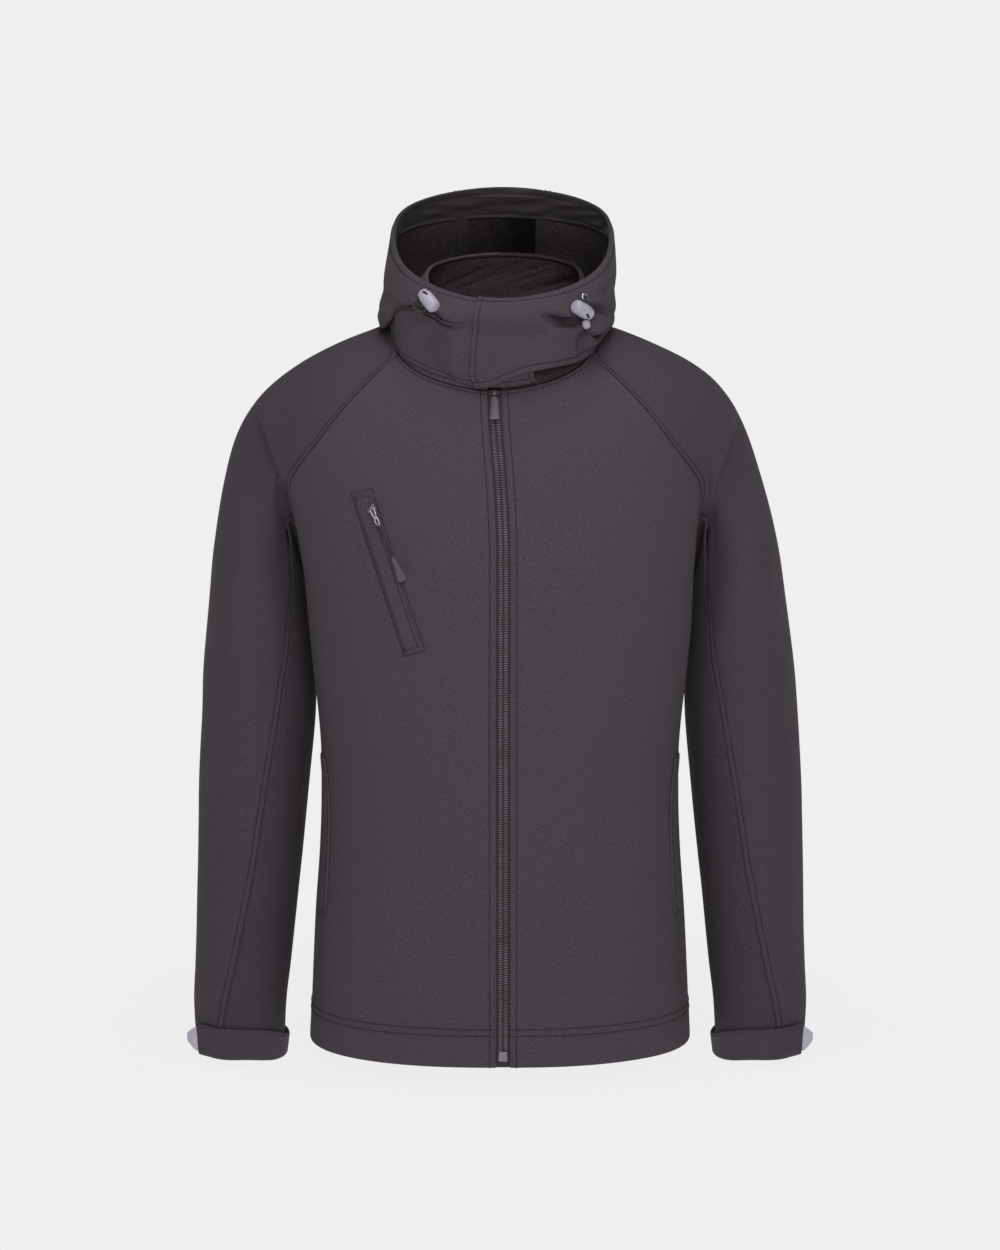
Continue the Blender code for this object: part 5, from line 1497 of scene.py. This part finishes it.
def rounded(outline, radius, steps=4):
    """An outline with its corners rounded."""
    points = []
    count = len(outline)
    for i in range(count):
        before, here, after = (np.array(outline[(i + k) % count], float) for k in (-1, 0, 1))
        reach = min(radius, 0.45 * np.linalg.norm(before - here), 0.45 * np.linalg.norm(after - here))
        a, b = here + unit(before - here) * reach, here + unit(after - here) * reach
        for k in range(steps + 1):
            t = k / steps
            points.append(tuple((1 - t) ** 2 * a + 2 * t * (1 - t) * here + t * t * b))
    return points


def hard_piece(name, solids, origin, way, finish, bevel=0.0, sharp=40.0):
    """One piece from closed solids on a frame, with worn edges."""
    joined = bmesh.new()
    for points, faces in solids:
        part = bmesh.new()
        corners = [part.verts.new(tuple(p)) for p in points]
        for face in faces:
            part.faces.new([corners[i] for i in face])
        bmesh.ops.recalc_face_normals(part, faces=part.faces)
        if bevel:
            edges = [e for e in part.edges if e.calc_face_angle(0.0) > 0.6]
            bmesh.ops.bevel(part, geom=edges, offset=bevel, segments=2, profile=0.6, affect="EDGES",
                            clamp_overlap=True)
        spare = bpy.data.meshes.new("spare")
        part.to_mesh(spare)
        joined.from_mesh(spare)
        bpy.data.meshes.remove(spare)
        part.free()
    mesh = bpy.data.meshes.new(name)
    joined.to_mesh(mesh)
    joined.free()
    local = np.zeros(len(mesh.vertices) * 3)
    mesh.vertices.foreach_get("co", local)
    spots = metres(placed(local.reshape(-1, 3), origin, way))
    mesh.vertices.foreach_set("co", spots.astype(np.float32).ravel())
    mesh.materials.append(finish)
    if np.linalg.det(np.array(way)) < 0:
        mesh.flip_normals()
    return finished(name, mesh, sharp)


def slider_solids(width, length):
    """A zip slider: a shield-shaped body on the teeth, and a bridge with the pin its pull hangs on."""
    half, long = width / 2, length / 2
    low, top = -PIN_STANDS, SLIDER_BASE - PIN_STANDS
    shield = rounded([
        (-half * 0.7, -long), (half * 0.7, -long), (half, long * 0.1), (half, long * 0.8),
        (half * 0.45, long), (-half * 0.45, long), (-half, long * 0.8), (-half, long * 0.1),
    ], 1.2)
    lug = rounded([(top - LUG_SINK, -LUG_HALF), (LUG_TOP, -LUG_HALF), (LUG_TOP, LUG_HALF),
                   (top - LUG_SINK, LUG_HALF)], 1.4)
    solids = [plate(shield, low, top)]
    for near in (-LUG_NEAR - LUG_WIDTH, LUG_NEAR):
        solids.append(skin([[(x, out, z) for out, z in lug] for x in (near, near + LUG_WIDTH)]))
    pin = LUG_NEAR + LUG_WIDTH * 0.6
    wear_and_shadow_line = PIN_RADIUS * 0.7
    solids.append(barrel([(-pin, wear_and_shadow_line), (-pin + 0.3, PIN_RADIUS), (pin - 0.3, PIN_RADIUS), (pin, wear_and_shadow_line)], 14))
    return solids


def eye_loop(drop, half, radius):
    """A wire loop round the slider's pin, drawn out downwards."""
    reach = EYE_OUTER - radius
    return wire([(half * x, 0, (reach if z > 0 else drop) * z) for x, z in circle(1.0, 20)], radius)


def link_ring(low, high, half, radius):
    """A wire ring in the loop, turned a little out of the cloth."""
    middle, reach = 0.5 * (low + high), 0.5 * (high - low)
    return wire([(half * x, half * x * LINK_TURN, reach * z - middle) for x, z in circle(1.0, 18)], radius)


def pin_eye(half):
    """A flat strap bent round the pin."""
    rings = []
    for turn in np.radians(np.linspace(EYE_FROM, EYE_TO, 22)):
        edges = ((-half, EYE_OUTER), (half, EYE_OUTER), (half, EYE_INNER), (-half, EYE_INNER))
        rings.append([(x, math.cos(turn) * reach, math.sin(turn) * reach) for x, reach in edges])
    return skin(rings)


def tapered(steps):
    """A pull's outline from its drops and widths."""
    edge = [(width / 2, -drop) for drop, width in steps]
    return [(-x, z) for x, z in edge] + edge[::-1]


def make_main_pull(pin, way, finish):
    half = PULL_WALL / 2
    tab = rounded(tapered(MAIN_PULL), 2.2)
    inset = [(x * 0.62, -13.5 + (z + 13.5) * 0.74) for x, z in tab]
    solids = [pin_eye(EYE_HALF * 0.65), plate(tab, -half, half * 0.7), plate(inset, half * 0.5, half)]
    tail = hard_piece("main_pull_tab", solids, pin, way, finish, 0.28)
    settle(tail, ("main_pull",), "main_pull")


def twist(low, high, radius, lay, count=2, turns=5.5):
    """Cord strands laid round each other, hanging from the pin's frame."""
    solids = []
    for s in range(count):
        path = []
        for share in np.linspace(0, 1, int(turns * 10) + 1):
            turn = TAU * (turns * share + s / count)
            path.append((lay * math.cos(turn), lay * math.sin(turn), -low - (high - low) * share))
        solids.append(wire(path, radius, 8, closed=False))
    return solids


def make_chest_pull(pin, way, finishes):
    link = hard_piece("chest_pull_link", [eye_loop(9.4, 2.1, 0.72), link_ring(8.4, 17.0, 2.0, 0.72)],
                      pin, way, finishes["bright"])
    settle(link, ("chest_pull",), "chest_pull")
    low, high = CHEST_CORD
    strands = twist(low, high, STRAND_RADIUS, STRAND_LAY)
    cord = hard_piece("chest_pull_cord", strands, pin, way, finishes["cord"])
    settle(cord, (), "chest_pull")
    drops, widths = np.array(CHEST_GRIP).T
    ribs = []
    for drop in CHEST_RIBS:
        half = 0.5 * np.interp(drop, drops, widths) - 0.9
        rib = [(-half, -drop - 0.6), (half, -drop - 0.6), (half, -drop + 0.6), (-half, -drop + 0.6)]
        ribs.append(plate(rounded(rib, 0.5), 0.8, 1.25))
    solids = [plate(rounded(tapered(CHEST_GRIP), 0.9), -1.0, 0.95)] + ribs
    piece = hard_piece("chest_pull_grip", solids, pin, way, finishes["grip"], 0.25)
    settle(piece, (), "chest_pull")
    line = metres(placed([(0, 0, -drop) for drop in np.linspace(low, high, 25)], pin, way))


def make_lock(label, centre, way, finishes):
    """A cord lock: a rounded barrel with a slot, and the plunger in its narrow end."""
    body = [(-12, 2.2), (-11.7, 3.9), (-11.1, 5.3), (-10, 6.3), (-8.4, 6.7), (-2, 6.8), (5.2, 6.8),
            (6.1, 6.6), (6.7, 6.1), (6.8, 5.2)]
    neck = [(6.4, 4.6), (7.6, 4.6)]
    plunger = [(7.3, 4.6), (7.4, 5.2), (7.9, 5.5), (9.8, 5.5), (10.8, 5.2), (11.5, 4.4), (11.9, 3.0)]
    band = [(-1.6, 6.86), (-1.3, 6.95), (1.3, 6.95), (1.6, 6.86)]
    solids = [barrel(body, 40), barrel(neck, 24), barrel(plunger, 36), barrel(band, 40)]
    piece = hard_piece("cord_lock_" + label + "_body", solids, centre, way, finishes["accent"], 0.0, 35.0)
    settle(piece, ("cord_lock_" + label,))
    slot = LOCK_SLOTS[label]
    out = way[1] * math.cos(slot.round) + way[2] * math.sin(slot.round)
    seat = centre + way[0] * slot.along + out * 6.55
    turn = math.radians(slot.turn)
    run = way[0] * math.cos(turn) + np.cross(out, way[0]) * math.sin(turn)
    hole = rounded([(-1.1, -3.2), (1.1, -3.2), (1.1, 3.2), (-1.1, 3.2)], 1.1)
    dark = hard_piece("cord_lock_" + label + "_slot", [plate(hole, -0.9, 0.6)], seat,
                      (np.cross(out, run), out, run), finishes["cord"], 0.2)
    settle(dark)
    return piece


def make_eyelet(label, seat, way, finish):
    profile = [(1.7, 0.0), (4.0, 0.0), (4.05, 0.35), (3.8, 0.8), (3.3, 1.12), (2.7, 1.2), (2.1, 1.0),
               (1.75, 0.6)]
    rings = [[(radius * x, out, radius * z) for radius, out in profile] for x, z in circle(1.0, 36)]
    piece = hard_piece("eyelet_" + label + "_ring", [skin(rings, True)], seat, way, finish, 0.0, 50.0)
    settle(piece, ("eyelet_" + label,))


def make_cord(name, route, finish, nodes):
    """A round cord along a smooth curve through its route's points."""
    points = smooth_path(route, 8)
    line = bpy.data.curves.new(name, "CURVE")
    line.dimensions = "3D"
    line.bevel_depth = CORD_DIAMETER / 2 * MM
    line.bevel_resolution = 4
    line.use_fill_caps = True
    spline = line.splines.new("POLY")
    spline.points.add(len(points) - 1)
    for target, point in zip(spline.points, metres(points)):
        target.co = (*point, 1.0)
    line.materials.append(finish)
    piece = settle(put(name, line), nodes)
    metres(points[0])


def make_draw_cord(label, neck, finishes):
    """Eyelet, cord lock and free cord at one side of the face opening."""
    eyelet, lock = EYELETS[label], LOCKS[label]
    facing = hood_normal(neck, eyelet.row, eyelet.angle)
    seat = hood(neck, eyelet.row, eyelet.angle) + facing * eyelet.seat
    eyelet_way = surface_frame(facing, 0)
    make_eyelet(label, seat, eyelet_way, finishes["bright"])
    out = hood_normal(neck, lock.row, lock.angle)
    centre = hood(neck, lock.row, lock.angle) + out * (LOCK_RADIUS + lock.seat)
    way = surface_frame(out, lock.tilt + LOCK_TURNS[label])
    body = make_lock(label, centre, way, finishes)
    if label == "right":
        route = placed([LOOP_STARTS] + CORD_LOOP + [LOOP_ENDS], centre, way)
        make_cord("cord_right_loop", route, finishes["cord"], ("cord_right",))
        return
    drop = LOCK_WAIST + 2 * SEAT_GAP + CORD_END_HALF
    below = centre + way[0] * (CORD_END_ALONG + 2.5) - way[2] * drop
    hang = surface_frame(out, lock.tilt + CORD_END_TURN)
    half = [(0, 4.0), (1.8, 3.9), (3.3, 3.3), (4.1, 2.1), (CORD_END_HALF, 1.4)]
    bead = [(-along, radius) for along, radius in half[:0:-1]] + half
    end = hard_piece("cord_end_left_bead", [barrel(bead, 32)], below, hang, finishes["accent"], 0.0, 35.0)
    settle(end, ("cord_end_left",))
    lead = list(placed([LEAD_STARTS] + CORD_LEAD, seat, eyelet_way))
    inside = [centre + way[0] * 2 + way[2] * 1.5, centre + way[0] * CORD_END_ALONG - way[2] * 3.5, below]
    make_cord("cord_left_lead", lead + inside, finishes["cord"], ("cord_left",))


def make_tab(label, strap, finish):
    """The moulded end of a cuff strap: a plate with a chamfered tip and a raised middle."""
    outer, inner = strap.outer[:, -1], strap.inner[:, -1]
    middle = len(outer) // 2
    way = unit((outer[middle] - strap.outer[middle, -2]) * np.array([1, 1, 0]))
    out = unit(outer[middle] - inner[middle])
    half = 0.5 * (outer[-1, 2] - outer[0, 2])
    centre = 0.5 * (outer[middle] + inner[middle])
    centre[2] = 0.5 * (outer[0, 2] + outer[-1, 2])
    edge = [(run, half * share) for run, share in TAB_STATIONS]
    outline = rounded(edge + [(x, -z) for x, z in reversed(edge)], 2.0)
    thick = 0.5 * STRAP_WALL
    inset = [(6.5 + (x - 6.5) * 0.66, z * 0.62) for x, z in outline]
    solids = [plate(outline, -thick, thick * 0.75), plate(inset, thick * 0.6, thick)]
    tab_way = (way, out, np.array([0, 0, 1.0]))
    piece = hard_piece("cuff_tab_" + label + "_moulding", solids, centre, tab_way, finish, 0.35)
    settle(piece, ("cuff_tab_" + label,))


def make_zip_box(finish):
    middle = 0.5 * (ZIP_BOX_LOW + ZIP_BOX_HIGH)
    point, facing = front_point(zip_line(middle)[0], middle)
    seat = point + facing * (ZIP_TEETH_RISE - ZIP_RECESS + SEAT_GAP)
    half = 0.5 * (ZIP_BOX_HIGH - ZIP_BOX_LOW)
    outline = rounded([(-ZIP_BOX_HALF, -half), (ZIP_BOX_HALF, -half), (ZIP_BOX_HALF * 0.9, half),
                       (-ZIP_BOX_HALF * 0.9, half)], 1.2)
    post = rounded([(-0.9, -half * 0.7), (0.9, -half * 0.7), (0.9, half * 0.96), (-0.9, half * 0.96)], 0.5)
    solids = [plate(outline, 0, ZIP_BOX_RISE * 0.7), plate(post, ZIP_BOX_RISE * 0.6, ZIP_BOX_RISE)]
    piece = hard_piece("zip_box_moulding", solids, seat, surface_frame(facing, 0), finish, 0.3)
    settle(piece, ("zip_box",))


def make_sliders(finishes):
    point, facing = front_point(zip_line(MAIN_PIN_HEIGHT)[0], MAIN_PIN_HEIGHT)
    pin = point + facing * (PIN_STANDS + ZIP_TEETH_RISE - ZIP_RECESS + SEAT_GAP)
    way = surface_frame(facing, 0)
    solids = slider_solids(SLIDER_WIDTH, SLIDER_LENGTH)
    body = hard_piece("main_slider_body", solids, pin, way, finishes["slider"], 0.3)
    settle(body, ("main_slider",))
    make_main_pull(pin, way, finishes["pull"])
    head, run, side_way = pocket_line()
    point, facing = front_point(*(head + run * CHEST_SLIDER_AT + side_way * CHEST_ZIP_SHIFT))
    pin = point + facing * (PIN_STANDS + TRIM_SEAT + TRIM_WALL + SEAT_GAP)
    way = surface_frame(facing, math.degrees(math.atan2(run[0], -run[1])) + CHEST_PULL_SWING)
    solids = slider_solids(SLIDER_WIDTH * 0.7, SLIDER_LENGTH)
    body = hard_piece("chest_slider_body", solids, pin, way, finishes["body"], 0.3)
    settle(body, ("chest_slider",))
    make_chest_pull(pin, way, finishes)


# Stage
def make_stage():
    """A wide pale floor that runs into the pale studio around it."""
    sides = 64
    vertices, faces = [(0, 0, FLOOR)], []
    for k, reach in enumerate((0.5, 1.0, 1.6, 2.4, 4.0, 8.0, 20.0)):
        vertices += [(x, y, FLOOR) for x, y in circle(reach, sides)]
        base = 1 + (k - 1) * sides
        for i in range(sides):
            j = (i + 1) % sides
            cell = (base + i, base + sides + i, base + sides + j, base + j)
            faces.append(cell if k else (0, 1 + i, 1 + j))
    material, tree, shader = new_finish("pale_floor", Roughness=0.9, Specular_IOR_Level=0.0,
                                        Emission_Strength=1.0)
    place = add(tree, "ShaderNodeTexCoord")
    reach = add(tree, "ShaderNodeVectorMath", operation="LENGTH", links=[(0, place.outputs["Object"])])
    far = add(tree, "ShaderNodeMapRange", [("From Min", 0.76), ("From Max", 1.0)],
              [("Value", reach.outputs["Value"])], interpolation_type="SMOOTHSTEP").outputs[0]
    tree.links.new(mixed(tree, far, (FLOOR_SHADE,) * 3, (0.0, 0.0, 0.0)), shader.inputs["Base Color"])
    glow = mixed(tree, far, (FLOOR_GLOW,) * 3, (STUDIO_TONE,) * 3)
    tree.links.new(glow, shader.inputs["Emission Color"])
    mesh = bpy.data.meshes.new("pale_floor")
    mesh.from_pydata(vertices, [], faces)
    mesh.materials.append(material)
    put("pale_floor", mesh)


def soft_light(name, place, aim, size, power):
    data = bpy.data.lights.new(name, "AREA")
    data.shape = "RECTANGLE"
    data.size, data.size_y = size
    data.energy = power
    light = put(name, data)
    light.location = place
    light.rotation_euler = (Vector(aim) - Vector(place)).to_track_quat("-Z", "Y").to_euler()


def make_light():
    """A pale studio, and two soft boxes in front and above."""
    world = bpy.data.worlds.new("studio")
    bpy.context.scene.world = world
    world.use_nodes = True
    tree = world.node_tree
    back = tree.nodes["Background"]
    seen = add(tree, "ShaderNodeLightPath").outputs["Is Camera Ray"]
    tree.links.new(mixed(tree, seen, (STUDIO_FILL,) * 3, (STUDIO_TONE,) * 3), back.inputs["Color"])
    soft_light("front_softbox", (0.2, -2.7, 1.15), (0, 0, -0.35), (1.3, 1.5), 39.5)
    soft_light("top_softbox", (0.0, -0.5, 2.2), (0, 0, -0.2), (1.4, 1.4), 32.0)
    bpy.context.scene.view_settings.view_transform = "Standard"


def fitting_finishes():
    """Finishes of the fittings, the cords, the thread and the zip teeth."""
    return {
        "box": moulded("zip_box_plastic", (0.17, 0.155, 0.18), (0.25, 0.23, 0.26)),
        "slider": moulded("slider_enamel", (0.012, 0.011, 0.012), (0.022, 0.02, 0.022), (0.5, 0.65)),
        # painted light: the accent plastic made paler for the cuff tabs, which face down and away from the
        # lamps
        "tab": moulded("cuff_tab_plastic_painted_light", (0.51, 0.475, 0.57), (0.57, 0.535, 0.63)),
        "bright": metal_finish("pale_metal", (0.42, 0.41, 0.43), (0.62, 0.6, 0.64)),
        "accent": moulded("accent_plastic", (0.375, 0.351, 0.432), (0.432, 0.408, 0.488)),
        "cord": braided("elastic_cord", (0.012, 0.011, 0.012), (0.03, 0.027, 0.03)),
        "pull": moulded("pull_plastic", (0.051, 0.0455, 0.053), (0.066, 0.059, 0.069)),
        "grip": moulded("grip_plastic", (0.086, 0.075, 0.089), (0.116, 0.102, 0.119)),
        "body": metal_finish("slider_metal", (0.21, 0.2, 0.21), (0.36, 0.35, 0.37)),
        # the thread is darker than the cloth: partly its own tone, partly painted shade for the dips its
        # stitches sit in
        "thread": moulded("thread", (0.015, 0.0112, 0.016), (0.025, 0.0192, 0.0265), (0.75, 0.88)),
        "teeth": moulded("zip_teeth", (0.085, 0.075, 0.087), (0.15, 0.133, 0.153), (0.35, 0.5), 500.0),
    }


def cloth_finishes():
    """Finishes of the cloth: its faces, with darker copies of the softshell as painted shade on the sleeves
    and the hood, its linings, one of them with painted shade, and the tapes and bands.
    """
    return {
        "body": woven_cloth("softshell", (0.0386, 0.0316, 0.0396), (0.0859, 0.0721, 0.0871)),
        # painted shade: the body's softshell made darker for the sleeves and the cuff straps
        "arm": woven_cloth("softshell_sleeve", (0.0341, 0.0273, 0.0351), (0.078, 0.0644, 0.0797)),
        # painted shade: a still darker copy for the under sleeves, which turn in towards the body
        "under_arm_painted_shade": woven_cloth("softshell_under_sleeve_painted_shade", (0.0285, 0.0228, 0.0294), (0.0655, 0.054, 0.0668)),
        # painted shade: the body's softshell made a little darker for the hood
        "hood": woven_cloth("softshell_hood_painted_shade", (0.0358, 0.0294, 0.0367), (0.0798, 0.067, 0.0806)),
        "lining": fleece("fleece_lining", (0.017, 0.0125, 0.0138), (0.038, 0.0295, 0.0315)),
        "hood_lining": fleece("hood_side_lining", (0.036, 0.028, 0.03), (0.08, 0.063, 0.067)),
        # painted shade: the centre panel's lining is a darker copy of the side lining, with a painted shadow
        # over its wearer's left
        "centre_lining_painted_shade": fleece("hood_centre_lining", (0.023, 0.017, 0.0185), (0.05, 0.039, 0.0415),
                                (0.0075, 0.0048, 0.0053)),
        "collar_lining": fleece("collar_lining", (0.037, 0.028, 0.034), (0.06, 0.046, 0.054)),
        "facing": woven_cloth("facing_cloth", (0.037, 0.0305, 0.036), (0.0485, 0.04, 0.0465), 900.0),
        "seam_tape": woven_cloth("seam_tape_cloth", (0.04, 0.033, 0.037), (0.07, 0.059, 0.066), 900.0),
        "zip_tape": woven_cloth("zip_tape", (0.034, 0.029, 0.034), (0.05, 0.043, 0.05), 1600.0, 0.05),
    }


def make_collar(neck, cloths):
    """The collar: its outer face is the dark lining cloth, which also stands as painted shade under the
    hood's flap, and the body's cloth on the wearer's right.
    """
    collar = collar_cloth(neck)
    # the dark lining on the outer face of the wearer's left is lining cloth and painted shade under the flap
    materials = [cloths["lining"], cloths["collar_lining"]]
    stand = cloth_piece("collar", collar, materials, free=("top", "start", "end"))
    stand.data.materials.append(cloths["body"])
    for face in stand.data.polygons:
        if face.material_index == 0 and face.center.x < 0:
            face.material_index = 2
    return collar


def make_hood(neck, cloths):
    """The hood's three panels, the tapes over their seams and the facing in the rim."""
    over = [float(a) for a in FLAP_NODES]
    beneath = [-a for a in reversed(over)]

    def centre_angles(row):
        seam = centre_seam(neck, row)
        return [seam + (360 - 2 * seam) * i / HOOD_CENTRE_COLUMNS for i in range(HOOD_CENTRE_COLUMNS + 1)]

    left = hood_cloth(neck, lambda r: side_angles(neck, r, 1, over), ("end",), -1, True)
    right = hood_cloth(neck, lambda r: side_angles(neck, r, -1, beneath), ("end",), 1)
    centre = hood_cloth(neck, centre_angles, ("start", "end"), -1)
    panels = {"hood_side_left": left[2], "hood_side_right": right[2], "hood_centre": centre[2]}
    for name, cloth in panels.items():
        # the centre panel takes the lining with painted shade
        inside = cloths["centre_lining_painted_shade" if name == "hood_centre" else "hood_lining"]
        cloth_piece(name, cloth, [cloths["hood"], inside],
                    free=("top", "bottom", "start"))
    tapes = [seam_tape("hood_seam_tape_left", left[2], centre[2], "start", cloths["seam_tape"]),
             seam_tape("hood_seam_tape_right", right[2], centre[2], "end", cloths["seam_tape"])]
    facing = facing_cloth(left[:2], centre[:2], right[:2])
    cloth_piece("hood_facing", facing, [cloths["facing"]],
                ("bottom",))
    return panels, tapes, facing


def make_chest_pocket(cloths):
    welt = strip_cloth(CHEST_WELT_SHIFT, CHEST_WELT_HALF, (0.0, 1.0), TRIM_WALL, 60, 12)
    row = (WELT_STITCH,)
    welt = dipped(welt, [sewn("start", row, 0.35, 0.4), sewn("end", (), 0.6), sewn("bottom", row, 0.5),
                         sewn("top", row, 0.5)])
    cloth_piece("chest_welt", welt, [cloths["body"]])
    tape = strip_cloth(*CHEST_SLIT, CHEST_ZIP_ENDS, CHEST_ZIP_WALL, 50, 6, 0.5)
    cloth_piece("chest_zip", tape, [cloths["zip_tape"]])
    return welt, tape


def seam_rows(fronts, back, sleeves, panels):
    """Lines of topstitching along the seams and edges of the body, the sleeves and the hood."""
    rows = []
    for cloth in fronts.values():
        rows += [cloth_line(cloth, "start", ZIP_STITCH), cloth_line(cloth, "top", NECK_STITCH)]
        rows += [cloth_line(cloth, "bottom", away) for away in HEM_TWIN]
    rows += [cloth_line(back, "bottom", away) for away in HEM_TWIN] + [cloth_line(back, "top", NECK_STITCH)]
    for name, cloth in sleeves.items():
        if name.startswith("upper"):
            rows += [cloth_line(cloth, edge, away) for edge in ("start", "end", "bottom") for away in TWIN]
    for name, cloth in panels.items():
        rows += [cloth_line(cloth, "top", RIM_STITCH), cloth_line(cloth, "bottom", FOOT_STITCH)]
        if name != "hood_centre":
            rows.append(cloth_line(cloth, "start", FLAP_STITCH))
            rows += [cloth_line(cloth, "end", away) for away in TWIN]
    return rows


def trim_rows(collar, facing, front, welt, tapes, pockets):
    """Lines of topstitching on the collar, the bands and the pockets."""
    rows = [cloth_line(collar, "top", COLLAR_STITCH, inside=True)]
    rows.append(cloth_line(facing, "top", FACING_STITCH, inside=True))
    half, past = POCKET_FRAME
    corners = [(-half, -past), (half, -past), (half, 1 + past), (-half, 1 + past), (-half, -past)]
    rows.append(frame_line(front, corners))
    rows += [cloth_line(welt, edge, WELT_STITCH) for edge in ("start", "bottom", "top")]
    for tape in tapes:
        rows += [cloth_line(tape, "start", away) for away in TAPE_STITCHES]
    for pocket in pockets.values():
        rows += [cloth_line(pocket, edge, POCKET_STITCH) for edge in ("start", "bottom", "top")]
    return rows


def make_teeth(chest_tape, finish):
    tree = repeat_tree("teeth_row", "tooth")
    lines = [zip_row(shift, ZIP_BOX_HIGH + 1 + lag, NECK_FRONT_HEIGHT - 8, -0.35)
             for shift, lag in ((-2.6, 0.0), (2.6, 0.5 * TOOTH_PITCH))]
    size = (TOOTH_RISE, TOOTH_ACROSS, TOOTH_ALONG)
    settle(repeated("main_zip_teeth", lines, tree, TOOTH_PITCH, size, finish))
    lines = [cloth_line(chest_tape, "start", CHEST_SLIT[1])]
    settle(repeated("chest_zip_teeth", lines, tree, 1.7, (0.6, 1.5, 1.1), finish))


def main():
    set_camera()
    finishes, cloths = fitting_finishes(), cloth_finishes()
    fronts, sleeves, necks = {}, {}, {}
    for label, side in SIDES.items():
        coarse, fronts[label] = front_cloth(side)
        necks[label] = coarse[-1]
    coarse, back = back_cloth()
    necks["back"] = coarse[-1]
    upper, under, neck_from = sleeve_turns()
    for label, side in SIDES.items():
        coarse, sleeves["upper_" + label] = sleeve_cloth(side, upper, "upper")
        necks["shoulder_" + label] = coarse[0, neck_from:neck_from + NECK_PIECE_COLUMNS + 1]
        sleeves["under_" + label] = sleeve_cloth(side, under, "under")[1]
    neck = np.concatenate([
        necks["right"], necks["shoulder_right"][1:-1], necks["back"], necks["shoulder_left"][-2:0:-1],
        necks["left"][::-1],
    ])
    for label in SIDES:
        make_draw_cord(label, neck, finishes)

    body_cloth = [cloths["body"], cloths["lining"]]
    for label, cloth in fronts.items():
        cloth_piece("front_" + label, cloth, body_cloth, free=("bottom",))
    cloth_piece("back", back, body_cloth, free=("bottom",))
    for label, cloth in sleeves.items():
        # the sleeves wear darker copies of the body's cloth, painted shade
        face = cloths["arm" if label.startswith("upper") else "under_arm_painted_shade"]
        cloth_piece("sleeve_" + label, cloth, [face, cloths["lining"]],
                    free=("top",))
    collar = make_collar(neck, cloths)
    panels, tapes, facing = make_hood(neck, cloths)

    cloth_piece("main_zip", zip_tape_cloth(), [cloths["zip_tape"]])
    welt, chest_tape = make_chest_pocket(cloths)
    pockets = {label: pocket_cloth(side) for label, side in SIDES.items()}
    for label, side in SIDES.items():
        cloth_piece("side_pocket_" + label, pockets[label], [cloths["body"]])
        strap = strap_cloth(side)
        cloth_piece("cuff_strap_" + label, strap, [cloths["arm"]],
                    ("bottom", "top", "end"))
        # the tab's paler plastic is painted light
        make_tab(label, strap, finishes["tab"])
    make_sliders(finishes)
    make_zip_box(finishes["box"])

    rows = seam_rows(fronts, back, sleeves, panels)
    rows += trim_rows(collar, facing, fronts["right"], welt, tapes, pockets)
    rows = [(points + out * STITCH_STANDS, out) for points, out in rows]
    stitches = repeated("topstitching", rows, repeat_tree("stitch_row", "stitch"), STITCH_PITCH,
                        (STITCH_WIDTH, STITCH_WIDTH * 1.2, STITCH_LENGTH), finishes["thread"])
    settle(stitches)
    make_teeth(chest_tape, finishes["teeth"])

    make_stage()
    make_light()


main()
